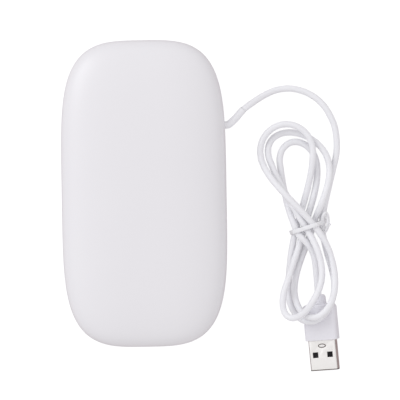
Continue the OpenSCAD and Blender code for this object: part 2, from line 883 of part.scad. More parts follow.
// Two windows on each broad face of the shell, and an oval mark pressed into the upper one
module usb_shell() {
    window = 2.4;
    window_x = 3.2;
    window_y = -6.3;
    mark_y = -2.4;
    mark_depth = 0.15;
    color("silver")
        plug_place()
            difference() {
                rotate([90, 0, 0])
                    linear_extrude(shell_l)
                        difference() {
                            rounded(shell_w, shell_t, 0.7);
                            rounded(shell_w - 2 * shell_wall, shell_t - 2 * shell_wall, 0.4);
                        }
                for (sx = [-1, 1])
                    block([sx * window_x - window / 2, window_y - window / 2, -shell_t],
                        [sx * window_x + window / 2, window_y + window / 2, shell_t]);
                translate([0, mark_y, shell_t / 2 - mark_depth])
                    linear_extrude(past)
                        difference() {
                            scale([1.75, 0.9])
                                circle(r = 1);
                            scale([1.35, 0.55])
                                circle(r = 1);
                        }
            }
}

tongue_t = 1.9;
tongue_w = 11;

// The tongue lies against the upper face, right under its windows, and the core closes the back
module usb_insulator() {
    core_depth = 7.8;
    z = shell_t / 2 - shell_wall - insulator_play;
    color("black")
        plug_place() {
            block([-tongue_w / 2, -shell_l + 0.6, z - tongue_t], [tongue_w / 2, 0, z]);
            block([-tongue_w / 2, core_depth - shell_l, -z], [tongue_w / 2, 0, z]);
        }
}

// Four strips on the tongue's lower side
module usb_contacts() {
    contact_t = 0.15;
    z = shell_t / 2 - shell_wall - insulator_play - tongue_t;
    color("gold")
        plug_place()
            for (x = [-3.5, -1, 1, 3.5])
                block([x - 0.5, -shell_l + 1.2, z - contact_t], [x + 0.5, -shell_l + 7.6, z]);
}

// Twist tie: a flat band round the seven strands at the waist, and its twisted end
tie_angle = 17.5;
tie_x = 70.9;
tie_w = 1.8;
tie_t = 0.35;

// Where a strand crosses the plane at an offset from the tie's middle, as distance along the band
function tie_spot(x, slope, z, offset) =
    let (k = tan(tie_angle),
        base_x = tie_x - offset * sin(tie_angle),
        cross_x = (x + slope * (k * base_x - offset * cos(tie_angle))) / (1 + slope * k))
    [(cross_x - tie_x) * cos(tie_angle)
        + ((cross_x - base_x) * k + offset * cos(tie_angle)) * sin(tie_angle), z];
TIE_SPOTS = [for (offset = [-tie_w / 2, tie_w / 2]) each concat(
    [for (k = [0:loops]) tie_spot(DOWN_X[k], DOWN_SLOPE[k], DOWN_Z[k], offset)],
    [for (k = [0:loops - 1]) tie_spot(UP_X[k], -UP_SLOPE[k], waist_z, offset)])];

// Band's outline at radius r round the strands, cut flat at height low
module tie_outline(r, low) {
    intersection() {
        hull()
            for (p = TIE_SPOTS)
                translate(p)
                    circle(r = r, $fn = 24);
        translate([-case_w, low])
            square([2 * case_w, case_h]);
    }
}

module cord_tie() {
    r = cord_r + 0.32;
    low = 0.04;
    wire_r = 0.6;
    twist = [77.7, -13.2, 5.2];
    loop = [for (i = [0:14]) let (a = 360 * (i + 0.5) / 16)
        twist + [1.1 * sin(a) + 0.3 * (1 - cos(a)), 4 * (1 - cos(a)) - 4.5, 0.4 * sin(2 * a)]];
    tip = [loop[2], loop[2] + [0.9, 0.9, 0], loop[2] + [1.9, 1.6, 0.1]];
    color("white") {
        translate([tie_x, waist_y, 0])
            rotate([0, 0, tie_angle])
                rotate([90, 0, 0])
                    translate([0, 0, -tie_w / 2])
                        linear_extrude(tie_w)
                            difference() {
                                tie_outline(r + tie_t, low);
                                tie_outline(r, low + tie_t);
                            }
        cord_tube(loop, wire_r, 6, loop[1] - loop[0], loop[14] - loop[13]);
        sweep(tip, [wire_r, wire_r, 0.3], 6, tip[1] - tip[0], tip[2] - tip[1]);
    }
}

top_cover();
bottom_case();
foot_pads();
case_screws();
leg_front();
leg_rear();
leg_pad_front();
leg_pad_rear();
power_button();
switch_plunger();
switch_housing();
switch_plate();
led_board();
board_screws();
reflector_front();
reflector_rear();
led_body(1);  // led_body_1
led_body(2);  // led_body_2
led_body(3);  // led_body_3
led_body(4);  // led_body_4
led_body(5);  // led_body_5
led_body(6);  // led_body_6
led_lens(1);  // led_lens_1
led_lens(2);  // led_lens_2
led_lens(3);  // led_lens_3
led_lens(4);  // led_lens_4
led_lens(5);  // led_lens_5
led_lens(6);  // led_lens_6
timer_chip();
driver_transistors();
led_resistors();
capacitor();
wire_red();
wire_black();
inner_cord();
strain_relief();
cord_lead();
cord_hank();
cord_tail();
cord_tie();
plug_overmould();
usb_shell();
usb_insulator();
usb_contacts();
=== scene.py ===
# %% [markdown]
# # A mini nail lamp with folding legs and a tied USB lead
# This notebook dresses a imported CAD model. The model is loaded first and stays where it is: it gives
# every piece its place and size. Each cell after that makes one piece or one finish, in millimetres,
# and `finish_piece` scales it to metres at the end. The last cells set up the floor and the lights.

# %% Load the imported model
import json
import math
import bmesh
import bpy
from mathutils import Matrix, Vector


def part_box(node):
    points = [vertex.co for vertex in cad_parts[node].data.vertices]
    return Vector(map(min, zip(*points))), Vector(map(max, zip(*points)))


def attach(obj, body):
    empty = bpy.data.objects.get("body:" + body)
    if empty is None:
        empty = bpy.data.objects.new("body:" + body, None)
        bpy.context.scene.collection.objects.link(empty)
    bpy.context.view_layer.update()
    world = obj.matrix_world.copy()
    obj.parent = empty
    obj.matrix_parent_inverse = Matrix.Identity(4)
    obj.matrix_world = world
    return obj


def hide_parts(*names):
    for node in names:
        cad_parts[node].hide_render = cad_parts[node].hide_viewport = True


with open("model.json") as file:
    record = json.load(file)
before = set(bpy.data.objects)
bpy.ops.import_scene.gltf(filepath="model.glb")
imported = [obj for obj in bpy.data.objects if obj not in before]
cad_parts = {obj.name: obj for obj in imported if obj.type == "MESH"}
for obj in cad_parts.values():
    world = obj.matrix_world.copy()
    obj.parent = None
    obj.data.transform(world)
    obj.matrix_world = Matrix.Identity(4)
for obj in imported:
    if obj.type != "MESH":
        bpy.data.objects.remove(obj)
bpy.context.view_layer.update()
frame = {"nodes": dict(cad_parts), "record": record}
MM = 0.001
SCENE = bpy.context.scene

# %% [markdown]
# ## The camera
# The photograph looks straight down from far away, with the lamp turned about one degree in the frame.
# A long lens at almost a metre gives the same near-flat perspective. The frame is square, so the width
# that the camera sees at the case's widest height fixes the focal length.

# %% Camera above the lamp
CAMERA_SPOT = (24.0, -3.2)
CAMERA_HEIGHT = 900
SEAM_Z = 9.5
VIEW_WIDTH = 172.4
ROLL = -0.0166
SENSOR_WIDTH = 36

camera_data = bpy.data.cameras.new("camera")
camera_data.sensor_width = SENSOR_WIDTH
camera_data.lens = SENSOR_WIDTH * (CAMERA_HEIGHT - SEAM_Z) / VIEW_WIDTH
camera = bpy.data.objects.new("camera", camera_data)
camera.location = Vector((*CAMERA_SPOT, CAMERA_HEIGHT)) * MM
camera.rotation_euler = (0, 0, ROLL)
SCENE.collection.objects.link(camera)
SCENE.camera = camera
print("focal length", round(camera_data.lens, 1), "mm")

# %% [markdown]
# ## The route of the cord
# The cord is one soft lead of 2.8 mm: it leaves the case, bends down to the table, goes round in a wide
# bow and is folded into three figure-eight loops through one waist. The CAD model already has this
# route, so its points are repeated here. The free ends are a few chosen points joined by a smooth
# curve. The loops come from a formula: the runs between the waist and a lobe's side are cubic curves
# with a set direction at each end, and each lobe's end is half an ellipse.
#
# The DOWN and UP rows say where each strand passes the waist, how high, and how steeply it spreads. A
# lobe has two rows of its own. LOWER and UPPER give its centre, half its width, its reach and how far it
# leans. LOWER_Z and UPPER_Z give five heights: the middle of the right run, the right side, the end, the
# left side and the middle of the left run. A strand that crosses over another is simply higher.

# %% Points of the free lead, and a smooth line through points
CORD_D = 2.8
LEAD = [(43.2, 35.4, 7.8), (45.4, 37.1, 7), (48.4, 39.2, 5.4), (51.4, 41.1, 3.8), (54.4, 42.7, 2.5),
        (57.4, 43.9, 1.7), (60.4, 44.5, 1.5), (64.6, 44.6, 1.5), (69.2, 43.5, 1.5), (73, 41.7, 1.5),
        (76.6, 39, 1.5), (80, 34.7, 1.5), (82.8, 28.6, 1.5), (83.8, 22.5, 1.5), (83.7, 16.5, 1.5),
        (82.5, 10.9, 1.5), (80.8, 4.4, 1.5), (79.2, -2, 1.5), (77.9, -7.5, 1.6), (77.1, -12.4, 1.9)]


def smooth_line(points, steps, closed=False):
    """Smooth curve through the points, with that many steps between each two of them."""
    points = [Vector(p) for p in points]
    count = len(points)
    line = []
    for i in range(count if closed else count - 1):
        a, b = points[i], points[(i + 1) % count]
        before = points[i - 1] if closed or i else 2 * a - b
        after = points[(i + 2) % count] if closed or i + 2 < count else 2 * b - a
        for k in range(steps):
            t = k / steps
            line.append(0.5 * (2 * a + (b - before) * t + (2 * before - 5 * a + 4 * b - after) * t ** 2
                               + (3 * a - before - 3 * b + after) * t ** 3))
    return line if closed else line + [points[-1]]


print("free lead:", len(LEAD), "points")

# %% The hank's loops
WAIST_Y = -15.6
WAIST_Z = 1.9
DOWN_X = (77, 73.6, 69.4, 64.9)
DOWN_Z = (WAIST_Z, 7.6, 6.4, 5.8)
DOWN_SLOPE = (0, 0.77, 0.6, 0.38)
UP_X = (65.8, 72.8, 69.3)
UP_SLOPE = (0.3, 0.3, 0.3)
LOWER = ((71.4, -42, 9.7, 14.4, -1), (72.7, -41.4, 8.4, 13, -1.2), (67.5, -41.5, 7.3, 12.8, -4.7))
UPPER = ((61.8, 17, 11.4, 12, 0), (67, 14, 12.6, 11.6, -3.8), (67, 11.8, 8, 9.6, -1.2))
LOWER_Z = ((2.2, 12.6, 10.6, 1.7, 1.7), (7.2, 16.2, 14.6, 4.4, 1.7), (10.4, 13, 17.6, 9, 4.2))
UPPER_Z = ((2, 5.8, 5.8, 4.8, 9.8), (6.4, 4, 1.5, 3.8, 5.8), (1.6, 1.5, 1.5, 1.5, 1.6))
RUN_STEPS = 10
END_STEPS = 20
MID_SHARE = 0.42


def blend(a, b, t):
    """Goes from a to b with level ends as t goes from 0 to 1."""
    return a + (b - a) * (1 - math.cos(math.pi * min(max(t, 0), 1))) / 2


def cubic(a, b, a_way, b_way, t):
    """Point at t on the curve from a to b that starts along a_way and ends along b_way."""
    return ((2 * t ** 3 - 3 * t ** 2 + 1) * a + (t ** 3 - 2 * t ** 2 + t) * a_way
            + (3 * t ** 2 - 2 * t ** 3) * b + (t ** 3 - t ** 2) * b_way)


def run_point(lobe, up, side, x, slope, heights, t):
    """Point on a run, t from 0 at the waist to 1 at the lobe's side; heights are waist, middle, side."""
    centre_x, centre_y, half_width, lobe_reach, lean = lobe
    reach = abs(centre_y - WAIST_Y)
    tip_way = reach * Vector((lean, up * lobe_reach)).normalized()
    p = cubic(Vector((x, WAIST_Y)), Vector((centre_x + side * half_width, centre_y)),
              reach * Vector((side * slope, up)), tip_way, t)
    waist_z, mid_z, side_z = heights
    z = (blend(waist_z, mid_z, t / MID_SHARE) if t < MID_SHARE
         else blend(mid_z, side_z, (t - MID_SHARE) / (1 - MID_SHARE)))
    return Vector((p.x, p.y, z))


def lobe_points(lobe, zs, up, start, end):
    """Out along the right run, round the lobe's end and back along the left run."""
    centre_x, centre_y, half_width, reach, lean = lobe
    (x_in, slope_in, z_in), (x_out, slope_out, z_out) = start, end
    points = [run_point(lobe, up, 1, x_in, slope_in, (z_in, zs[0], zs[1]), i / RUN_STEPS)
              for i in range(RUN_STEPS)]
    for i in range(END_STEPS):
        a, t = math.pi * i / END_STEPS, 2 * i / END_STEPS
        z = blend(zs[1], zs[2], t) if t < 1 else blend(zs[2], zs[3], t - 1)
        points.append(Vector((centre_x + half_width * math.cos(a) + lean * math.sin(a),
                              centre_y + up * reach * math.sin(a), z)))
    return points + [run_point(lobe, up, -1, x_out, slope_out, (z_out, zs[4], zs[3]), 1 - i / RUN_STEPS)
                     for i in range(RUN_STEPS)]


hank = []
for k in range(len(UP_X)):
    down = (DOWN_X[k], DOWN_SLOPE[k], DOWN_Z[k])
    rise = (UP_X[k], UP_SLOPE[k], WAIST_Z)
    back = (DOWN_X[k + 1], DOWN_SLOPE[k + 1], DOWN_Z[k + 1])
    hank += lobe_points(LOWER[k], LOWER_Z[k], -1, down, rise)
    hank += lobe_points(UPPER[k], UPPER_Z[k], 1, rise, back)
hank.append(Vector((DOWN_X[-1], WAIST_Y, DOWN_Z[-1])))
print("hank:", len(hank), "points, highest", round(max(p.z for p in hank), 1), "mm")

# %% Where the plug lies, and the tail of the cord that runs into it
PLUG_TURN = math.radians(4.5)
PLUG_ROLL = math.radians(17)
PLUG_SPOT = Vector((76.1, -64.6, 5.07))
PLUG_WAY = Vector((math.sin(PLUG_TURN), -math.cos(PLUG_TURN), 0))
GRIP_L = 15.6
NUB_L = 4.8
tail_end = PLUG_SPOT - (GRIP_L + NUB_L) * PLUG_WAY
inside_nub = PLUG_SPOT - (GRIP_L + NUB_L / 2) * PLUG_WAY
TAIL = [(65.9, -18.2, 5.8), (68, -20.6, 6.5), (70.4, -23.2, 6.3), (72.4, -26.6, 5.5), (73.4, -30.4, 5.1),
        (73.8, -34.6, 5), tail_end - CORD_D * PLUG_WAY, tail_end, inside_nub]

lead_line = smooth_line(LEAD + [hank[0]], steps=4)
tail_line = smooth_line([hank[-1]] + TAIL, steps=4)
route = lead_line[:-1] + hank + tail_line[1:]
cord_length = sum((b - a).length for a, b in zip(route, route[1:]))
print("cord route:", len(route), "points,", round(cord_length), "mm long")

# %% [markdown]
# ## The cord as a curve
# A round, even cord needs no mesh work: a curve with a bevel is a tube that follows its own centreline
# exactly. A poly spline keeps every point of the route, and the points lie close enough that the tube
# looks smooth. Blender counts each point's radius, 1 at first, into the curve's own bounds, so here the
# points get the cord's radius in metres and the bevel depth is 1, which multiplies it.

# %% Make the cord
cord_curve = bpy.data.curves.new("cord", "CURVE")
cord_curve.dimensions = "3D"
cord_curve.bevel_depth = 1
cord_curve.bevel_resolution = 5
cord_curve.use_fill_caps = True
spline = cord_curve.splines.new("POLY")
spline.points.add(len(route) - 1)
for point, place in zip(spline.points, route):
    point.co = (*(place * MM), 1)
    point.radius = CORD_D / 2 * MM
spline.use_smooth = True
cord = bpy.data.objects.new("cord", cord_curve)
SCENE.collection.objects.link(cord)
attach(cord, "body")
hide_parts("cord_lead", "cord_hank", "cord_tail")
print("cord:", len(spline.points), "points,", CORD_D, "mm thick")

# %% [markdown]
# ## Finishes: shared effects
# Moulded plastic is never one even colour: the gloss drifts a little, and the surface has a faint
# orange peel. Metal has fine drawn lines. Both effects serve several pieces, so each is a node group
# that is built once. A group only gives out a colour, a roughness and a height that change over the
# surface. The shader stays in the material, where the export can read it.

# %% Helpers for node groups
NOISE_MIDDLE = 0.5


def new_group(name, inputs, outputs):
    """A shader node group with named sockets, and its input and output nodes."""
    group = bpy.data.node_groups.new(name, "ShaderNodeTree")
    for label, kind, value in inputs:
        socket = group.interface.new_socket(name=label, in_out="INPUT", socket_type=kind)
        if value is not None:
            socket.default_value = value
    for label, kind in outputs:
        group.interface.new_socket(name=label, in_out="OUTPUT", socket_type=kind)
    return group, group.nodes.new("NodeGroupInput"), group.nodes.new("NodeGroupOutput")


def add_node(tree, kind, **settings):
    """A node of that kind; settings are its own properties."""
    node = tree.nodes.new(kind)
    for key, value in settings.items():
        setattr(node, key, value)
    return node


def add_noise(tree, vector, scale, detail):
    """A noise texture read at vector; scale is a number or an output socket."""
    noise = add_node(tree, "ShaderNodeTexNoise")
    noise.inputs["Detail"].default_value = detail
    tree.links.new(vector, noise.inputs["Vector"])
    if isinstance(scale, (int, float)):
        noise.inputs["Scale"].default_value = scale
    else:
        tree.links.new(scale, noise.inputs["Scale"])
    return noise.outputs["Fac"]


def add_math(tree, operation, *values):
    """A math node; each value is a number or an output socket."""
    node = add_node(tree, "ShaderNodeMath", operation=operation)
    for socket, value in zip(node.inputs, values):
        if isinstance(value, (int, float)):
            socket.default_value = value
        else:
            tree.links.new(value, socket)
    return node.outputs[0]


def add_mix(tree, share, a, b):
    """Mixes two colours by share; each is a colour or an output socket.

    A Mix node has sockets for every kind of value, and 6, 7 and 2 are the ones for colours.
    """
    node = add_node(tree, "ShaderNodeMix", data_type="RGBA")
    for socket, value in zip((node.inputs[0], node.inputs[6], node.inputs[7]), (share, a, b)):
        if isinstance(value, bpy.types.NodeSocket):
            tree.links.new(value, socket)
        else:
            socket.default_value = value
    return node.outputs[2]


def give_out(group, sink, colour, roughness, height):
    """Joins what a group has worked out to its three outputs."""
    for label, value in (("Colour", colour), ("Roughness", roughness), ("Height", height)):
        group.links.new(value, sink.inputs[label])


# %% Group: moulded plastic
plastic_group, source, sink = new_group("moulded plastic", [
    ("Vector", "NodeSocketVector", None), ("Colour", "NodeSocketColor", (0.8, 0.8, 0.8, 1)),
    ("Shade", "NodeSocketColor", (0.7, 0.7, 0.7, 1)), ("Grain Scale", "NodeSocketFloat", 900),
    ("Roughness", "NodeSocketFloat", 0.25), ("Gloss Drift", "NodeSocketFloat", 0.06)],
    [("Colour", "NodeSocketColor"), ("Roughness", "NodeSocketFloat"), ("Height", "NodeSocketFloat")])
place = source.outputs["Vector"]
clouds = add_noise(plastic_group, place, scale=28, detail=3)
grain = add_noise(plastic_group, place, scale=source.outputs["Grain Scale"], detail=2)
smears = add_noise(plastic_group, place, scale=110, detail=4)
cloudy = add_mix(plastic_group, clouds, source.outputs["Shade"], source.outputs["Colour"])
drift = add_math(plastic_group, "MULTIPLY_ADD", add_math(plastic_group, "SUBTRACT", smears, NOISE_MIDDLE),
                 source.outputs["Gloss Drift"], source.outputs["Roughness"])
give_out(plastic_group, sink, cloudy, drift, grain)
print("group:", plastic_group.name, len(plastic_group.nodes), "nodes")

# %% Group: drawn metal
metal_group, source, sink = new_group("drawn metal", [
    ("Vector", "NodeSocketVector", None), ("Colour", "NodeSocketColor", (0.8, 0.8, 0.8, 1)),
    ("Tarnish", "NodeSocketColor", (0.6, 0.55, 0.5, 1)), ("Roughness", "NodeSocketFloat", 0.3)],
    [("Colour", "NodeSocketColor"), ("Roughness", "NodeSocketFloat"), ("Height", "NodeSocketFloat")])
DRAWN_OUT = (1, 0.04, 1)
LINE_DRIFT = 0.16
STAIN_POWER = 3
STAIN = 0.8
place = source.outputs["Vector"]
stretch = add_node(metal_group, "ShaderNodeMapping")
stretch.inputs["Scale"].default_value = DRAWN_OUT
metal_group.links.new(place, stretch.inputs["Vector"])
lines = add_noise(metal_group, stretch.outputs["Vector"], scale=5000, detail=3)
spots = add_noise(metal_group, place, scale=260, detail=4)
stain = add_math(metal_group, "MULTIPLY", add_math(metal_group, "POWER", spots, STAIN_POWER), STAIN)
stained = add_mix(metal_group, stain, source.outputs["Colour"], source.outputs["Tarnish"])
drift = add_math(metal_group, "MULTIPLY_ADD", add_math(metal_group, "SUBTRACT", lines, NOISE_MIDDLE),
                 LINE_DRIFT, source.outputs["Roughness"])
give_out(metal_group, sink, stained, drift, lines)
print("group:", metal_group.name, len(metal_group.nodes), "nodes")


# %% A material that uses one of the groups
PLASTIC_DEPTH = 0.05
METAL_DEPTH = 0.02


def grouped_material(name, group, values, bump, bump_depth, **shader_values):
    """Principled material fed by a group; shader_values are even values on the shader's own sockets."""
    material = bpy.data.materials.new(name)
    material.use_nodes = True
    tree = material.node_tree
    shader = tree.nodes["Principled BSDF"]
    for label, value in shader_values.items():
        shader.inputs[label.replace("_", " ")].default_value = value
    effect = add_node(tree, "ShaderNodeGroup", node_tree=group)
    for label, value in values.items():
        effect.inputs[label].default_value = value
    place = add_node(tree, "ShaderNodeTexCoord")
    height = add_node(tree, "ShaderNodeBump")
    height.inputs["Strength"].default_value = bump
    height.inputs["Distance"].default_value = bump_depth * MM
    for a, b in ((place.outputs["Object"], effect.inputs["Vector"]),
                 (effect.outputs["Colour"], shader.inputs["Base Color"]),
                 (effect.outputs["Roughness"], shader.inputs["Roughness"]),
                 (effect.outputs["Height"], height.inputs["Height"]),
                 (height.outputs["Normal"], shader.inputs["Normal"])):
        tree.links.new(a, b)
    return material


def plastic(name, colour, shade, roughness, grain, drift=0.06, bump=0.12, **shader_values):
    """Moulded plastic, rubber or PVC."""
    values = {"Colour": (*colour, 1), "Shade": (*shade, 1), "Roughness": roughness,
              "Grain Scale": grain, "Gloss Drift": drift}
    return grouped_material(name, plastic_group, values, bump, PLASTIC_DEPTH, **shader_values)


def metal(name, colour, tarnish, roughness, bump=0.1):
    """Drawn or plated metal."""
    values = {"Colour": (*colour, 1), "Tarnish": (*tarnish, 1), "Roughness": roughness}
    return grouped_material(name, metal_group, values, bump, METAL_DEPTH, Metallic=1)


# %% [markdown]
# ## Finishes of this lamp
# The two shells are the same white plastic, polished on top and finely textured below. The cord, its
# sleeve, the tie and the plug's grip are soft PVC, so light goes a little way into them and their gloss
# is dull. The plug's shell is nickel on steel, and the reflectors are plastic with a bright metal film.
#
# Each line names a finish and gives the two colours that it drifts between and its roughness. For
# plastic the scale of the grain, the drift of the gloss and the strength of the bump follow, and for
# metal only the bump.

# %% Materials
SOFT_PVC = {"Subsurface_Scale": 0.001, "Subsurface_Radius": (1, 1, 1)}
cover_white = plastic("cover white", (0.86, 0.85, 0.87), (0.84, 0.83, 0.855), 0.36, 900, 0.06, 0.06)
base_white = plastic("base white", (0.85, 0.845, 0.86), (0.82, 0.815, 0.83), 0.32, 1400, 0.1, 0.25)
leg_white = plastic("leg white", (0.86, 0.86, 0.87), (0.83, 0.83, 0.84), 0.28, 1200, 0.12, 0.2)
button_grey = plastic("button grey", (0.70, 0.70, 0.73), (0.66, 0.66, 0.69), 0.35, 1500, 0.1, 0.25)
foot_rubber = plastic("foot rubber", (0.62, 0.62, 0.63), (0.55, 0.55, 0.56), 0.7, 1800, 0.15, 0.5)
cord_white = plastic("cord white", (0.905, 0.905, 0.93), (0.87, 0.87, 0.895), 0.42, 1500, 0.12, 0.15,
                     Subsurface_Weight=0.2, **SOFT_PVC)
tie_white = plastic("tie white", (0.90, 0.90, 0.92), (0.86, 0.86, 0.88), 0.38, 1200, 0.1, 0.1,
                    Subsurface_Weight=0.1, **SOFT_PVC)
grip_white = plastic("plug grip white", (0.87, 0.86, 0.905), (0.83, 0.82, 0.865), 0.4, 1300, 0.12, 0.2,
                     Subsurface_Weight=0.1, **SOFT_PVC)
tongue_black = plastic("tongue black", (0.012, 0.011, 0.012), (0.018, 0.016, 0.018), 0.5, 1800,
                       Specular_IOR_Level=0.12)
board_white = plastic("solder mask white", (0.86, 0.87, 0.86), (0.8, 0.82, 0.8), 0.3, 2200, 0.15, 0.3)
diode_cream = plastic("diode cream", (0.82, 0.78, 0.62), (0.78, 0.73, 0.56), 0.4, 2000)
chip_black = plastic("chip black", (0.03, 0.03, 0.032), (0.02, 0.02, 0.022), 0.55, 3500, 0.1, 0.6)
wire_red = plastic("wire red", (0.55, 0.02, 0.015), (0.48, 0.015, 0.012), 0.35, 1600)
wire_black = plastic("wire black", (0.02, 0.02, 0.02), (0.03, 0.03, 0.03), 0.35, 1600)
screw_steel = metal("screw steel", (0.62, 0.61, 0.6), (0.4, 0.38, 0.35), 0.3)
shell_nickel = metal("shell nickel", (0.99, 0.965, 0.95), (0.90, 0.85, 0.825), 0.38, 0.03)
# A dark finish that paints shade into the plug shell's pressed mark and into a band behind its front rim.
mark_painted_shade = metal("painted shade in the mark and at the lip", (0.17, 0.14, 0.13), (0.12, 0.1, 0.09), 0.5, 0.1)
can_aluminium = metal("can aluminium", (0.78, 0.78, 0.79), (0.6, 0.6, 0.6), 0.35)
contact_gold = metal("contact gold", (0.85, 0.62, 0.25), (0.6, 0.4, 0.15), 0.25)
reflector_film = metal("reflector film", (0.88, 0.88, 0.9), (0.75, 0.75, 0.78), 0.12, 0.05)
lens_clear = plastic("lens clear", (0.86, 0.84, 0.97), (0.80, 0.78, 0.94), 0.06, 900, 0.03, 0.03,
                     Transmission_Weight=0.85, IOR=1.5)
cord_curve.materials.append(cord_white)
print("materials:", len(bpy.data.materials))

# %% [markdown]
# ## Turning a bmesh into a piece
# Every piece is shaped in a bmesh in millimetres. The last step is always the same: scale it to metres,
# mark the edges that stay crisp, make the object, say which body it rides on and which finish it has,
# and hide the CAD node it stands for.

# %% finish_piece and a clean copy of a CAD node
BODY_OF = {n: body for body, nodes in frame["record"]["behaviour"]["bodies"].items() for n in nodes}
WELD = 0.002
FLAT = math.radians(0.5)


def finish_piece(bm, name, material, nodes, crisp_angle=35):
    """Makes the object of a bmesh in millimetres; it rides with the first of the nodes it replaces."""
    bmesh.ops.scale(bm, vec=(MM, MM, MM), verts=bm.verts)
    for face in bm.faces:
        face.smooth = True
    for edge in bm.edges:
        if len(edge.link_faces) == 2:
            edge.smooth = edge.calc_face_angle(0) < math.radians(crisp_angle)
    mesh = bpy.data.meshes.new(name)
    bm.to_mesh(mesh)
    bm.free()
    mesh.materials.append(material)
    piece = bpy.data.objects.new(name, mesh)
    SCENE.collection.objects.link(piece)
    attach(piece, BODY_OF[nodes[0]])
    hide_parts(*nodes)
    print(name, "-", len(mesh.polygons), "faces")
    return piece


def clean_copy(node):
    """A bmesh of a CAD node in millimetres, with its triangles joined and its flat faces whole."""
    bm = bmesh.new()
    bm.from_mesh(frame["nodes"][node].data)
    bmesh.ops.scale(bm, vec=(1 / MM, 1 / MM, 1 / MM), verts=bm.verts)
    bmesh.ops.remove_doubles(bm, verts=bm.verts, dist=WELD)
    bmesh.ops.dissolve_limit(bm, angle_limit=FLAT, verts=bm.verts, edges=bm.edges)
    return bm


def bevel_sharp(bm, width, segments=2, angle=40, keep=None):
    """Rounds the edges sharper than angle, all of them or those that keep says."""
    edges = [e for e in bm.edges if len(e.link_faces) == 2
             and e.calc_face_angle(0) > math.radians(angle) and (keep is None or keep(e))]
    bmesh.ops.bevel(bm, geom=edges, offset=width, offset_type="OFFSET", segments=segments, profile=0.5,
                    affect="EDGES", material=-1, clamp_overlap=True)
    return len(edges)


# %% [markdown]
# ## Lofting
# The case, the sleeve, the tie and the plug are all stacks of rings. `loft` starts from a circle that
# bmesh makes, moves its points onto the first ring, and then extrudes the open edge once for every
# further ring. The ends are closed by a cap, or drawn together to a pole.

# %% Lofting, and joining
POLE_WELD = 0.001


def loft(rings, cap_start=True, cap_end=True):
    """A bmesh through rings of equally many points, closed at its ends where asked."""
    bm = bmesh.new()
    count = len(rings[0])
    made = bmesh.ops.create_circle(bm, segments=count, radius=1, cap_ends=cap_start)
    verts = made["verts"]
    for vert, place in zip(verts, rings[0]):
        vert.co = place
    edges = [bm.edges.get((verts[i], verts[(i + 1) % count])) for i in range(count)]
    for ring in rings[1:]:
        made = bmesh.ops.extrude_edge_only(bm, edges=edges)
        found = {v for v in made["geom"] if isinstance(v, bmesh.types.BMVert)}
        matched = []
        for vert in verts:
            ends = [edge.other_vert(vert) for edge in vert.link_edges]
            matched.append(next(end for end in ends if end in found))
        verts = matched
        for vert, place in zip(verts, ring):
            vert.co = place
        edges = [bm.edges.get((verts[i], verts[(i + 1) % count])) for i in range(count)]
    if cap_end:
        bmesh.ops.contextual_create(bm, geom=edges)
    bmesh.ops.remove_doubles(bm, verts=bm.verts, dist=POLE_WELD)
    bmesh.ops.recalc_face_normals(bm, faces=bm.faces)
    return bm


def join(*parts):
    """One bmesh that holds all the given ones."""
    whole = bmesh.new()
    for part in parts:
        mesh = bpy.data.meshes.new("part")
        part.to_mesh(mesh)
        part.free()
        whole.from_mesh(mesh)
        bpy.data.meshes.remove(mesh)
    return whole


# %% [markdown]
# ## The top cover
# The cover is one blown-up pebble: seen from above its outline is a superellipse, and so is its side
# profile. A real cover is a thin shell, so the loft runs from the inside of the crown down to the rim,
# round the rim with a small radius and up the outside. The rim's radius draws the seam line.

# %% Outline and crown
HALF_W = 35.5
HALF_L = 66
CASE_H = 22
WALL = 1.8
SIDE_POWER = 2 / 3.5
END_POWER = 2 / 4.35
CROWN_POWER = 2 / 2.8
OUTLINE_COUNT = 192


def outline(half_w, half_l, z):
    """Ring of the case's outline at a height."""
    ring = []
    for i in range(OUTLINE_COUNT):
        a = 2 * math.pi * i / OUTLINE_COUNT
        c, s = math.cos(a), math.sin(a)
        ring.append(Vector((half_w * math.copysign(abs(c) ** SIDE_POWER, c),
                            half_l * math.copysign(abs(s) ** END_POWER, s), z)))
    return ring


def inset_outline(inset, z):
    """Ring of the outline drawn in by inset, at a height."""
    return outline(HALF_W - inset, HALF_L - inset, z)


def crown_rings(inset, count):
    """Rings from the seam up to the crown's peak, drawn in by inset.

    Near the seam the ends draw in as much as the sides do, and all meet at the peak.
    """
    half_w, half_l, height = HALF_W - inset, HALF_L - inset, CASE_H - SEAM_Z - inset
    rings = []
    for j in range(count):
        a = math.pi / 2 * j / count
        s = math.cos(a) ** CROWN_POWER
        length = half_l - half_w * (1 - s) * (1 + (half_l / half_w - 1) * (1 - s))
        rings.append(outline(half_w * s, length, SEAM_Z + height * math.sin(a) ** CROWN_POWER))
    return rings + [[Vector((0, 0, SEAM_Z + height))] * OUTLINE_COUNT]


RIM_R = 0.3
RIM_MID = 0.09
inner = list(reversed(crown_rings(inset=WALL, count=16)[1:]))
outer = crown_rings(inset=0, count=40)[1:]
rim = [inset_outline(inset, SEAM_Z + up) for inset, up in
       ((WALL, RIM_R), (WALL - RIM_R, 0), (RIM_R, 0), (RIM_MID, RIM_MID), (0, RIM_R))]
cover_bm = loft(inner + rim + outer, cap_start=False, cap_end=False)
finish_piece(cover_bm, "cover", cover_white, ["top_cover"], crisp_angle=50)

# %% [markdown]
# ## The bottom case
# The bottom case is a tub with a lip that centres the cover. Its outside and inside are one loft. The
# pockets for the legs, the posts and the bosses are added with a boolean union, and the channels, the
# light windows and the holes are then cut with a boolean difference, as a mould would shape them. A
# notch beside each leg's bar lets a fingertip in. The mouth of every cut gets a small radius, which
# catches the light as on real plastic. Two faces of a boolean's parts that lie in one plane are trouble,
# so such faces are set a hair apart.

# %% Carving with booleans
def as_object(bm, name):
    """A passing object for a modifier to work on."""
    mesh = bpy.data.meshes.new(name)
    bm.to_mesh(mesh)
    bm.free()
    made = bpy.data.objects.new(name, mesh)
    SCENE.collection.objects.link(made)
    return made


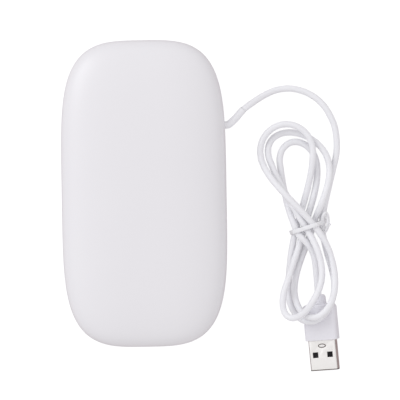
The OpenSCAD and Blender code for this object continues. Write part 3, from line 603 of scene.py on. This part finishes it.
def carve(base_bm, tool_bm, operation):
    """The bmesh after a boolean union or difference with the tool."""
    base, tool = as_object(base_bm, "base"), as_object(tool_bm, "tool")
    boolean = base.modifiers.new("carve", "BOOLEAN")
    boolean.operation = operation
    boolean.object = tool
    boolean.solver = "EXACT"
    boolean.use_self = True
    mesh = bpy.data.meshes.new_from_object(base.evaluated_get(bpy.context.evaluated_depsgraph_get()))
    result = bmesh.new()
    result.from_mesh(mesh)
    for thing in (base, tool):
        data = thing.data
        bpy.data.objects.remove(thing)
        bpy.data.meshes.remove(data)
    bpy.data.meshes.remove(mesh)
    return result


def box(low, high):
    """A box between two corners."""
    bm = bmesh.new()
    low, high = Vector(low), Vector(high)
    middle, size = (low + high) / 2, high - low
    bmesh.ops.create_cube(bm, size=1, matrix=Matrix.Translation(middle) @ Matrix.Diagonal((*size, 1)))
    return bm


def rod(x, y, z0, z1, r, segments=32):
    """An upright cylinder."""
    bm = bmesh.new()
    bmesh.ops.create_cone(bm, cap_ends=True, segments=segments, radius1=r, radius2=r, depth=z1 - z0,
                          matrix=Matrix.Translation((x, y, (z0 + z1) / 2)))
    return bm


def side_rod(x, y, z, r, length):
    """A cylinder that lies along x, with its middle at x."""
    bm = bmesh.new()
    place = Matrix.Translation((x, y, z)) @ Matrix.Rotation(math.pi / 2, 4, "Y")
    bmesh.ops.create_cone(bm, cap_ends=True, segments=32, radius1=r, radius2=r, depth=length, matrix=place)
    return bm


# %% The tub
FOOT_H = 0.8
EDGE_H = SEAM_Z - FOOT_H
EDGE_POWER = 2 / 2.2
EDGE_STEPS = 14
BASE_INSET = 4
BASE_TOP = FOOT_H + 2
TUB_WALL = 3
LIP_H = 1.2
LIP_INSET = WALL + 0.2
tub_rings = []
for j in range(EDGE_STEPS + 1):
    a = math.pi / 2 * (1 - j / EDGE_STEPS)
    inset = BASE_INSET * (1 - max(math.cos(a), 0) ** EDGE_POWER)
    tub_rings.append(inset_outline(inset, SEAM_Z - EDGE_H * math.sin(a) ** EDGE_POWER))
tub_rings[-1] = inset_outline(0, SEAM_Z - RIM_R)
for inset, z in ((RIM_MID, SEAM_Z - RIM_MID), (RIM_R, SEAM_Z), (LIP_INSET, SEAM_Z),
                 (LIP_INSET, SEAM_Z + LIP_H), (TUB_WALL, SEAM_Z + LIP_H), (TUB_WALL, BASE_TOP)):
    tub_rings.append(inset_outline(inset, z))
tub = loft(tub_rings)
print("tub:", len(tub.faces), "faces")

# %% Pockets, posts and bosses inside
LEG_X = 24.5
ARM_W = 4.8
HINGE_Y = 50
HINGE_Z = 3.3
BAR_Y = 9.5
BAR_W = 5
PAD_T = 0.8
GAP = 0.3
HAIR = 0.01
CHANNEL_IN = LEG_X - ARM_W - GAP
CHANNEL_X = LEG_X + GAP
CHANNEL_Y = BAR_Y - PAD_T - GAP
CHANNEL_END = HINGE_Y + 3
CHANNEL_TOP = 5.9
BAR_END = BAR_Y + BAR_W + GAP
POCKET_TOP = 7.2
POCKET_WALL = 1.3
BOSS_X = 28.6
BOSS_HALF = 3.6
POST_FOOT = BASE_TOP - 0.5
POST_R = 3.5
BOARD_POST_R = 2.4
BOARD_Z = 8.2
SCREW_X = 15
SCREW_Y = 53
SCREWS = [(SCREW_X * sx, SCREW_Y * sy) for sx in (-1, 1) for sy in (-1, 1)]
BOARD_SCREWS = [(14, 0), (-14, 0), (0, 51.5), (0, -51.5)]


def end_box(sy, xs, ys, zs):
    """A box between two x, two y and two z, at the front end (sy = -1) or the rear end (sy = 1)."""
    ys = sorted(sy * y for y in ys)
    return box((min(xs), ys[0], zs[0]), (max(xs), ys[1], zs[1]))


ribs = []
for sy in (-1, 1):
    ribs.append(end_box(sy, (-CHANNEL_X - POCKET_WALL, CHANNEL_X + POCKET_WALL),
                        (CHANNEL_Y - POCKET_WALL, BAR_END + POCKET_WALL), (POST_FOOT, POCKET_TOP)))
    for sx in (-1, 1):
        ribs.append(end_box(sy, (sx * (CHANNEL_IN - POCKET_WALL), sx * (CHANNEL_X + POCKET_WALL)),
                            (CHANNEL_Y, CHANNEL_END + POCKET_WALL), (POST_FOOT, POCKET_TOP - HAIR)))
        ribs.append(end_box(sy, (sx * CHANNEL_X, sx * BOSS_X), (HINGE_Y - BOSS_HALF, HINGE_Y + BOSS_HALF),
                            (POST_FOOT, POCKET_TOP - 2 * HAIR)))
ribs += [rod(x, y, POST_FOOT, SEAM_Z, POST_R) for x, y in SCREWS]
ribs += [rod(x, y, POST_FOOT, BOARD_Z, BOARD_POST_R) for x, y in BOARD_SCREWS]
shell_bm = carve(tub, join(*ribs), "UNION")
print("with ribs:", len(shell_bm.faces), "faces")

# %% Sizes of the windows and holes
BELOW = FOOT_H - 1
WINDOW_X = 16.2
WINDOW_Y = 18.2
WINDOW_Y2 = 47
NOTCH_X = 6
NOTCH_W = 2
NOTCH_TOP = BASE_TOP - 0.6
PIN_HOLE_R = 1.65
PIN_HOLE_L = 2.7
HEAD_HOLE_R = 2.1
HEAD_HOLE_TOP = 2.6
SCREW_HOLE_R = 1.2
SCREW_HOLE_FOOT = 2
PILOT_R = 0.75
PILOT_FOOT = BASE_TOP + 0.7
BUTTON_HOLE_R = 4.7
EXIT_X = 34
EXIT_Y = 29
EXIT_R = 1.8
EXIT_L = 5
SHELL_FLAT = math.radians(0.3)
print("light window:", 2 * WINDOW_X, "by", round(WINDOW_Y2 - WINDOW_Y, 1), "mm")

# %% Cut the channels, windows and holes
cuts = []
for sy in (-1, 1):
    cuts.append(end_box(sy, (-CHANNEL_X, CHANNEL_X), (CHANNEL_Y, BAR_END), (BELOW, CHANNEL_TOP)))
    cuts.append(end_box(sy, (-WINDOW_X, WINDOW_X), (WINDOW_Y, WINDOW_Y2), (BELOW, BASE_TOP + 1)))
    cuts.append(end_box(sy, (-NOTCH_X, NOTCH_X), (BAR_Y + BAR_W, BAR_END + NOTCH_W), (BELOW, NOTCH_TOP)))
    for sx in (-1, 1):
        cuts.append(end_box(sy, (sx * CHANNEL_IN, sx * CHANNEL_X), (CHANNEL_Y + HAIR, CHANNEL_END),
                            (BELOW, CHANNEL_TOP - HAIR / 10)))
        cuts.append(side_rod(sx * (LEG_X + PIN_HOLE_L / 2), sy * HINGE_Y, HINGE_Z, PIN_HOLE_R, PIN_HOLE_L))
cuts += [rod(x, y, BELOW, HEAD_HOLE_TOP, HEAD_HOLE_R) for x, y in SCREWS]
cuts += [rod(x, y, SCREW_HOLE_FOOT, SEAM_Z + 1, SCREW_HOLE_R) for x, y in SCREWS]
cuts += [rod(x, y, PILOT_FOOT, SEAM_Z, PILOT_R, segments=24) for x, y in BOARD_SCREWS]
cuts.append(rod(0, 0, BELOW, BASE_TOP + 1, BUTTON_HOLE_R, segments=64))
cuts.append(side_rod(EXIT_X, EXIT_Y, SEAM_Z, EXIT_R, EXIT_L))
shell_bm = carve(shell_bm, join(*cuts), "DIFFERENCE")
bmesh.ops.remove_doubles(shell_bm, verts=shell_bm.verts, dist=WELD)
bmesh.ops.dissolve_limit(shell_bm, angle_limit=SHELL_FLAT, verts=shell_bm.verts, edges=shell_bm.edges)
print("cut:", len(cuts), "shapes taken away")


# %% Round the mouths of the cuts
MOUTH_R = 0.22


def at_mouth(edge):
    """Whether an edge lies in the underside's plane, where the cuts open."""
    return all(abs(v.co.z - FOOT_H) < HAIR for v in edge.verts)


rounded = bevel_sharp(shell_bm, MOUTH_R, angle=60, keep=at_mouth)
print("mouth edges rounded:", rounded)
finish_piece(shell_bm, "bottom_shell", base_white, ["bottom_case"])

# %% [markdown]
# ## Legs, feet and reflectors
# These CAD solids already have the right shape, only with razor edges. A copy of each is cleaned, so
# that its flat faces are whole again, and its sharp edges are rounded: a moulded edge is never sharp,
# and the round is what makes a small part look real.

# %% Rounded copies: CAD node, piece, finish, radius and steps of the round
ROUNDED = [("leg_front", "front_leg", leg_white, 0.35, 3),
           ("leg_rear", "rear_leg", leg_white, 0.35, 3),
           ("leg_pad_front", "front_leg_pad", foot_rubber, 0.2, 2),
           ("leg_pad_rear", "rear_leg_pad", foot_rubber, 0.2, 2),
           ("foot_pads", "rubber_feet", foot_rubber, 0.3, 3),
           ("reflector_front", "front_reflector", reflector_film, 0.12, 2),
           ("reflector_rear", "rear_reflector", reflector_film, 0.12, 2)]
for node, name, material, width, segments in ROUNDED:
    copy_bm = clean_copy(node)
    bevel_sharp(copy_bm, width, segments)
    finish_piece(copy_bm, name, material, [node], crisp_angle=30)


# %% [markdown]
# ## The button
# The button is a round cap with a shallow dish in its face, on a thin flange that keeps it in the case.
# Its profile has a few points, and a spin round the upright axis gives every face at once, as a lathe
# would. The first and the last point lie on the axis, so the turned shape is closed.

# %% A lathe, and the button
def lathe(profile, x=0, y=0, steps=64):
    """Solid of revolution about the upright axis at x, y; profile is (radius, height) from axis to axis."""
    bm = bmesh.new()
    verts = [bm.verts.new((r, 0, z)) for r, z in profile]
    edges = [bm.edges.new(pair) for pair in zip(verts, verts[1:])]
    bmesh.ops.spin(bm, geom=verts + edges, cent=(0, 0, 0), axis=(0, 0, 1), angle=2 * math.pi, steps=steps,
                   use_merge=True)
    bmesh.ops.remove_doubles(bm, verts=bm.verts, dist=POLE_WELD)
    bmesh.ops.recalc_face_normals(bm, faces=bm.faces)
    bmesh.ops.translate(bm, vec=(x, y, 0), verts=bm.verts)
    return bm


BUTTON = [(0, 0.62), (1.5, 0.58), (2.8, 0.48), (3.6, 0.38), (4.0, 0.35), (4.3, 0.4), (4.45, 0.52),
          (4.5, 0.75), (4.5, 2.85), (5.85, 2.85), (6, 3), (6, 3.7), (5.85, 3.85), (0, 3.85)]
finish_piece(lathe(BUTTON), "button_cap", button_grey, ["power_button"])

# %% [markdown]
# ## The diodes and their lenses
# Each diode is a small cream-coloured body with a clear lens under it. The body is a rounded copy of
# the CAD solid. The lens is turned like the button, with a flat top, a short rim and half a ball, which
# stays smooth where the CAD model has flat facets. The CAD piece's box says where it goes.

# %% Diodes and lenses
LENS_R = 2.1
LENS_RIM = 0.4
LENS_STEPS = 14
DIODES = 6
for i in range(1, DIODES + 1):
    body_bm = clean_copy(f"led_body_{i}")
    bevel_sharp(body_bm, width=0.15)
    finish_piece(body_bm, f"diode_{i}", diode_cream, [f"led_body_{i}"])
    low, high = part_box(f"led_lens_{i}")
    x, y = (low + high).xy / 2 / MM
    top = high.z / MM
    rim_z = top - LENS_RIM
    dome = [(0, top), (LENS_R - 0.02, top), (LENS_R, top - 0.05), (LENS_R, rim_z)]
    for k in range(1, LENS_STEPS):
        a = math.pi / 2 * k / LENS_STEPS
        dome.append((LENS_R * math.cos(a), rim_z - LENS_R * math.sin(a)))
    dome.append((0, rim_z - LENS_R))
    finish_piece(lathe(dome, x, y, steps=40), f"lens_{i}", lens_clear, [f"led_lens_{i}"])


# %% [markdown]
# ## The cord's sleeve
# Where the lead leaves the case a soft sleeve keeps it from kinking. It is a tube a little thicker than
# the cord. It gets slowly thinner outwards and has a low collar near its far end. A loft suits it,
# because its rings follow the sleeve's own line and each has its own radius. A round flange, turned on
# the lathe, lies against the inside of the wall and holds the sleeve in the case.

# %% Rings along a line
UP = Vector((0, 0, 1))


def rings_along(line, profile_at):
    """Rings for a loft: profile_at(i) gives points (side, height) that are set square to the line."""
    rings = []
    for i, here in enumerate(line):
        way = (line[min(i + 1, len(line) - 1)] - line[max(i - 1, 0)]).normalized()
        side = way.cross(UP).normalized()
        height = side.cross(way)
        rings.append([here + side * a + height * b for a, b in profile_at(i)])
    return rings


def circle_profile(r, count=32):
    """Points of a circle, as a profile for rings_along."""
    angles = [2 * math.pi * k / count for k in range(count)]
    return [(r * math.cos(a), r * math.sin(a)) for a in angles]


# %% The sleeve and its flange
SLEEVE = [(31.3, EXIT_Y, SEAM_Z), (33.5, EXIT_Y, SEAM_Z), (36.4, EXIT_Y, SEAM_Z), (38, 30, 9.4),
          (39.8, 31.6, 9.1), (41.2, 33.2, 8.6), (42.6, 34.8, 8), (43.2, 35.4, 7.8)]
SLEEVE_R = 1.6
SLEEVE_END_R = 1.42
END_AT = 0.985
TAPER_AT = 0.3
TAPER = 0.1
COLLAR_AT = 0.94
COLLAR_HALF = 0.03
COLLAR_UP = 0.12
FLANGE_X = 30.72
FLANGE = [(0, 0), (2.85, 0), (3, 0.15), (3, 1.05), (2.85, 1.2), (0, 1.2)]
sleeve_line = smooth_line(SLEEVE, steps=6)


def sleeve_r(i):
    """Radius at a ring; the sleeve thins from TAPER_AT of its length on, and rises at the collar."""
    t = i / (len(sleeve_line) - 1)
    if t > END_AT:
        return SLEEVE_END_R
    collar = COLLAR_UP * max(0, 1 - abs(t - COLLAR_AT) / COLLAR_HALF)
    return SLEEVE_R - TAPER * max(0, t - TAPER_AT) + collar


sleeve_bm = loft(rings_along(sleeve_line, lambda i: circle_profile(sleeve_r(i))))
flange = lathe(FLANGE, steps=48)
flange_place = Matrix.Translation((FLANGE_X, EXIT_Y, SEAM_Z)) @ Matrix.Rotation(math.pi / 2, 4, "Y")
bmesh.ops.transform(flange, verts=flange.verts, matrix=flange_place)
sleeve = finish_piece(join(sleeve_bm, flange), "cord_sleeve", cord_white, ["strain_relief"])

# %% [markdown]
# ## The twist tie
# The tie is a flat plastic ribbon with a wire down its middle, which shows as a low ridge. It goes once
# round the seven strands at the hank's waist, and its ends stand out on the right as a small loop with
# a cut tip. All three are lofts of the same ribbon profile: one follows a closed line round the
# strands, and the other two are scaled to a narrower, thicker ribbon.

# %% The band round the strands
TIE_TURN = math.radians(17.5)
TIE_SPOT = Vector((70.9, WAIST_Y, 0))
BAND = [(-8.4, 1.9), (-8.2, 0.9), (-7.2, 0.25), (-5, 0.22), (0, 0.22), (5, 0.22), (7.3, 0.25), (8.4, 0.9),
        (8.6, 1.9), (8.2, 3.1), (6.2, 5.9), (4.2, 8.7), (3.2, 9.4), (1.6, 9.5), (-2.5, 8.5), (-6.5, 7.5),
        (-7.4, 6.6), (-7.9, 4.3)]
tie_along = Vector((math.cos(TIE_TURN), math.sin(TIE_TURN), 0))
tie_across = Vector((-math.sin(TIE_TURN), math.cos(TIE_TURN), 0))
band_points = [TIE_SPOT + tie_along * s + UP * z for s, z in BAND]
band_line = smooth_line(band_points, steps=6, closed=True)
RIBBON = [(-0.9, 0), (-0.82, 0.1), (-0.4, 0.12), (-0.25, 0.22), (0, 0.28), (0.25, 0.22), (0.4, 0.12),
          (0.82, 0.1), (0.9, 0), (0.82, -0.1), (0.4, -0.12), (0, -0.14), (-0.4, -0.12), (-0.82, -0.1)]


def band_rings(line, across):
    """Rings of the ribbon round a closed line, with its width along across and its ridge outwards."""
    rings = []
    count = len(line)
    for i, here in enumerate(line):
        way = (line[(i + 1) % count] - line[i - 1]).normalized()
        out = way.cross(across).normalized()
        wide = out.cross(way)
        rings.append([here + wide * a + out * b for a, b in RIBBON])
    return rings + [rings[0]]


band_bm = loft(band_rings(band_line, tie_across), cap_start=False, cap_end=False)
print("band of the tie:", len(band_bm.faces), "faces")

# %% The folded loop and the cut tip
LOOP_SPOT = Vector((77.7, -13.2, 5.2))
LOOP_STEPS = 32
LOOP_OPEN = 0.9
LOOP_HALF_W = 1.35
LOOP_HALF_L = 4
LOOP_FOOT = -4.5
LOOP_LEAN = 0.3
LOOP_WAVE = 0.4
LOOP_SCALE = (0.8, 2.9)
TIP = [(0.9, -2.9, 0.35), (1.4, -2.3, 0.4), (1.9, -1.8, 0.4), (2.4, -1.45, 0.45), (2.8, -1.2, 0.5)]
TIP_SCALE = (0.8, 2.2)
TIP_TAPER = 0.1


def ribbon_profile(wide, thick):
    """The ribbon's profile scaled in both ways."""
    return [(a * wide, b * thick) for a, b in RIBBON]


loop_line = []
for i in range(LOOP_STEPS - 1):
    a = 2 * math.pi * (i + LOOP_OPEN) / LOOP_STEPS
    x = LOOP_HALF_W * math.sin(a) + LOOP_LEAN * (1 - math.cos(a))
    y = LOOP_HALF_L * (1 - math.cos(a)) + LOOP_FOOT
    loop_line.append(LOOP_SPOT + Vector((x, y, LOOP_WAVE * math.sin(2 * a))))
loop_bm = loft(rings_along(loop_line, lambda i: ribbon_profile(*LOOP_SCALE)))
tip_line = [LOOP_SPOT + Vector(p) for p in TIP]
tip_bm = loft(rings_along(tip_line, lambda i: ribbon_profile(TIP_SCALE[0] - TIP_TAPER * i, TIP_SCALE[1])))
tie = finish_piece(join(band_bm, loop_bm, tip_bm), "twist_tie", tie_white, ["cord_tie"], crisp_angle=50)

# %% [markdown]
# ## The plug
# The grip is a soft block with round edges that narrows to a nub round the cord. It is one loft of
# rounded rectangles, which shrink to circles at the nub. The metal shell, the black tongue and the
# four contacts have standard sizes, so they are cleaned copies of the CAD solids with rounded edges.
# The mark pressed into the shell and a narrow band behind its front rim get painted shade. Faces there
# get a second, darker finish, and a cut across the shell ends the band in a clean line.

# %% Grip
def rounded_ring(w, h, r, y, per_corner=10):
    """Rounded rectangle across the plug, y millimetres back from the grip's front."""
    ring = []
    for quarter, (sx, sz) in enumerate(((1, 1), (-1, 1), (-1, -1), (1, -1))):
        for k in range(per_corner):
            a = math.pi / 2 * (quarter + k / (per_corner - 1))
            ring.append(Vector((sx * (w / 2 - r) + r * math.cos(a), y, sz * (h / 2 - r) + r * math.sin(a))))
    return ring


GRIP_W = 14.2
GRIP_T = 7.2
GRIP_R = 1.8
SHOULDER_L = 1.8
SHOULDER_IN = 3.6
SHOULDER_STEPS = 6
NUB = [(0.02, 3.4), (0.2, 3.25), (0.6, 3.18), (2.8, 3.05), (3.4, 2.9), (3.8, 2.6), (4, 2.1), (4.05, 1.5)]
grip = [(GRIP_W - 2 * inset, GRIP_T - 2 * inset, GRIP_R - inset, back) for inset, back in
        ((0.4, 0), (0.1, 0.12), (0, 0.4), (0, 7), (0, GRIP_L - SHOULDER_L))]
for k in range(1, SHOULDER_STEPS + 1):
    a = math.pi / 2 * k / SHOULDER_STEPS
    shrink = SHOULDER_IN * (1 - math.cos(a))
    back = GRIP_L - SHOULDER_L + SHOULDER_L * math.sin(a)
    grip.append((GRIP_W - shrink, GRIP_T - shrink / 4, GRIP_R, back))
for back, r in NUB:
    grip.append((2 * r, 2 * r, r, GRIP_L + back))
PLUG_PLACE = (Matrix.Translation(PLUG_SPOT) @ Matrix.Rotation(PLUG_TURN, 4, "Z")
              @ Matrix.Rotation(-PLUG_ROLL, 4, "Y"))
grip_bm = loft([rounded_ring(*row) for row in grip])
bmesh.ops.transform(grip_bm, matrix=PLUG_PLACE, verts=grip_bm.verts)
plug_grip = finish_piece(grip_bm, "plug_grip", grip_white, ["plug_overmould"], crisp_angle=60)

# %% The shell, and the painted shade in its mark and behind its rim
MARK_Y = -2.4
MARK_HALF = (1.75, 0.9)
MARK_DEPTH = (0.02, 0.3)
MARK_REACH = 1.05
SHELL_TOP = 2.25
SHADE_BAND_FROM = 0.15
SHADE_BAND_TO = 0.45
from_plug = PLUG_PLACE.inverted()
shell_copy = clean_copy("usb_shell")
bevel_sharp(shell_copy, width=0.14, segments=3, angle=50)
tip_y = min((from_plug @ vert.co).y for vert in shell_copy.verts)
bmesh.ops.bisect_plane(shell_copy, geom=shell_copy.verts[:] + shell_copy.edges[:] + shell_copy.faces[:],
                       plane_co=PLUG_PLACE @ Vector((0, tip_y + SHADE_BAND_TO, 0)),
                       plane_no=PLUG_PLACE.to_3x3() @ Vector((0, 1, 0)))
# Faces on the mark's walls and in the band behind the front rim get the painted shade.
for face in shell_copy.faces:
    spot = from_plug @ face.calc_center_median()
    across = Vector((spot.x / MARK_HALF[0], (spot.y - MARK_Y) / MARK_HALF[1])).length
    in_mark = MARK_DEPTH[0] < SHELL_TOP - spot.z < MARK_DEPTH[1] and across < MARK_REACH
    if in_mark or SHADE_BAND_FROM < spot.y - tip_y < SHADE_BAND_TO:
        face.material_index = 1
plug_shell = finish_piece(shell_copy, "plug_shell", shell_nickel, ["usb_shell"])
plug_shell.data.materials.append(mark_painted_shade)

# %% Tongue and contacts
tongue_copy = clean_copy("usb_insulator")
bevel_sharp(tongue_copy, width=0.1, angle=50)
plug_tongue = finish_piece(tongue_copy, "plug_tongue", tongue_black, ["usb_insulator"])
contact_copy = clean_copy("usb_contacts")
bevel_sharp(contact_copy, width=0.04, segments=1, angle=50)
plug_contacts = finish_piece(contact_copy, "plug_contacts", contact_gold, ["usb_contacts"])

# %% [markdown]
# ## The cord's length
# The cord is the one soft thing here. This cell prints how long its route is.

# %% Print the cord's length
print("cord declared,", round(cord_length), "mm measured")

# %% [markdown]
# ## Finishes for the CAD nodes that stay
# The pieces inside the case keep their CAD meshes. Only their materials change.

# %% Materials for the inner pieces
FINISH_OF = {"case_screws": screw_steel, "board_screws": screw_steel, "led_board": board_white,
             "switch_housing": chip_black, "switch_plunger": chip_black, "switch_plate": screw_steel,
             "timer_chip": chip_black, "driver_transistors": chip_black, "led_resistors": chip_black,
             "capacitor": can_aluminium, "wire_red": wire_red, "wire_black": wire_black,
             "inner_cord": cord_white}
for node, material in FINISH_OF.items():
    slots = frame["nodes"][node].data.materials
    slots.clear()
    slots.append(material)
print("CAD nodes finished:", len(FINISH_OF))

# %% [markdown]
# ## Floor, backdrop and light
# The photograph has a pure white ground. To the camera the floor is a matt surface that also glows, so
# it reads as white and still keeps the lamp's soft shadow. To soft light it is mid grey with some glow,
# so that it doesn't flood the lamp from below, and in mirrored rays it is darker and warm, which draws
# the sides of the metal shell. From below the camera sees through it to the lamp's underside. A big
# soft light from the upper left models the crown, and the world fills in the rest.

# %% Floor, in metres, a hair below the lamp's feet
FLOOR_REACH = 3
FLOOR_Z = -0.00005
floor_bm = bmesh.new()
bmesh.ops.create_grid(floor_bm, x_segments=1, y_segments=1, size=FLOOR_REACH)
bmesh.ops.translate(floor_bm, vec=(0, 0, FLOOR_Z), verts=floor_bm.verts)
floor_mesh = bpy.data.meshes.new("floor")
floor_bm.to_mesh(floor_mesh)
floor_bm.free()
floor = bpy.data.objects.new("floor", floor_mesh)
SCENE.collection.objects.link(floor)
print("floor:", 2 * FLOOR_REACH, "m across")


# %% What rays see of the floor
def ray_mask(tree, *kinds):
    """1 for rays of the given kinds."""
    rays = add_node(tree, "ShaderNodeLightPath")
    mask = rays.outputs[kinds[0]]
    for kind in kinds[1:]:
        mask = add_math(tree, "MAXIMUM", mask, rays.outputs[kind])
    return mask


def matt_and_glow(tree, colour, strength, glow_colour=(1, 1, 1)):
    """A diffuse floor that also glows a little, as one shader output."""
    matt = add_node(tree, "ShaderNodeBsdfDiffuse")
    matt.inputs["Color"].default_value = (*colour, 1)
    glow = add_node(tree, "ShaderNodeEmission")
    glow.inputs["Color"].default_value = (*glow_colour, 1)
    glow.inputs["Strength"].default_value = strength
    both = add_node(tree, "ShaderNodeAddShader")
    tree.links.new(matt.outputs[0], both.inputs[0])
    tree.links.new(glow.outputs[0], both.inputs[1])
    return both.outputs[0]


def pick(tree, mask, otherwise, chosen):
    """One of two shaders by a mask."""
    node = add_node(tree, "ShaderNodeMixShader")
    for socket, source in zip(node.inputs, (mask, otherwise, chosen)):
        tree.links.new(source, socket)
    return node.outputs[0]


# %% The floor's material
floor_material = bpy.data.materials.new("floor")
floor_material.use_nodes = True
tree = floor_material.node_tree
tree.nodes.clear()
soft_side = matt_and_glow(tree, colour=(0.46, 0.45, 0.46), strength=0.32)
mirrored_side = matt_and_glow(tree, colour=(0.14, 0.11, 0.11), strength=0.19, glow_colour=(1, 0.78, 0.76))
seen_side = matt_and_glow(tree, colour=(0.3, 0.3, 0.31), strength=0.84)
see_through = add_node(tree, "ShaderNodeBsdfTransparent")
from_below = add_node(tree, "ShaderNodeNewGeometry").outputs["Backfacing"]
light_side = pick(tree, ray_mask(tree, "Is Glossy Ray"), soft_side, mirrored_side)
top_side = pick(tree, ray_mask(tree, "Is Camera Ray", "Is Transmission Ray"), light_side, seen_side)
unseen = add_math(tree, "MULTIPLY", from_below, ray_mask(tree, "Is Camera Ray"))
output = add_node(tree, "ShaderNodeOutputMaterial")
tree.links.new(pick(tree, unseen, top_side, see_through.outputs[0]), output.inputs["Surface"])
floor_mesh.materials.append(floor_material)
print("floor's material:", len(tree.nodes), "nodes")

# %% World: white to the camera, even for soft light, and a bright sky over a dark rim in reflections
world = bpy.data.worlds.new("studio")
SCENE.world = world
world.use_nodes = True
tree = world.node_tree
tree.nodes.clear()
output = add_node(tree, "ShaderNodeOutputWorld")
fill = add_node(tree, "ShaderNodeBackground")
fill.inputs["Color"].default_value = (1.0, 0.985, 1.0, 1)
fill.inputs["Strength"].default_value = 0.82
white = add_node(tree, "ShaderNodeBackground")
white.inputs["Color"].default_value = (1, 1, 1, 1)
mirrored = add_node(tree, "ShaderNodeBackground")
direction = add_node(tree, "ShaderNodeTexCoord")
height = add_node(tree, "ShaderNodeSeparateXYZ")
sky = add_node(tree, "ShaderNodeMapRange", interpolation_type="SMOOTHSTEP")
for label, value in (("From Min", 0.05), ("From Max", 0.6), ("To Min", 0.08), ("To Max", 1.0)):
    sky.inputs[label].default_value = value
tree.links.new(direction.outputs["Generated"], height.inputs[0])
tree.links.new(height.outputs["Z"], sky.inputs["Value"])
tree.links.new(sky.outputs["Result"], mirrored.inputs["Strength"])
light_sky = pick(tree, ray_mask(tree, "Is Glossy Ray"), fill.outputs[0], mirrored.outputs[0])
whole_sky = pick(tree, ray_mask(tree, "Is Camera Ray", "Is Transmission Ray"), light_sky, white.outputs[0])
tree.links.new(whole_sky, output.inputs["Surface"])
print("world:", len(tree.nodes), "nodes")


# %% The key light
def softbox(name, place, target, size, power, colour):
    """A square area light that looks at target."""
    data = bpy.data.lights.new(name, "AREA")
    data.size = size
    data.energy = power
    data.color = colour
    light = bpy.data.objects.new(name, data)
    light.location = place
    light.rotation_mode = "QUATERNION"
    light.rotation_quaternion = (Vector(target) - Vector(place)).to_track_quat("-Z", "Y")
    SCENE.collection.objects.link(light)


softbox("key", place=(-1.15, 0.8, 0.95), target=(0, 0, 0), size=0.9, power=6.6, colour=(0.97, 1.0, 1.02))
SCENE.view_settings.view_transform = "Standard"
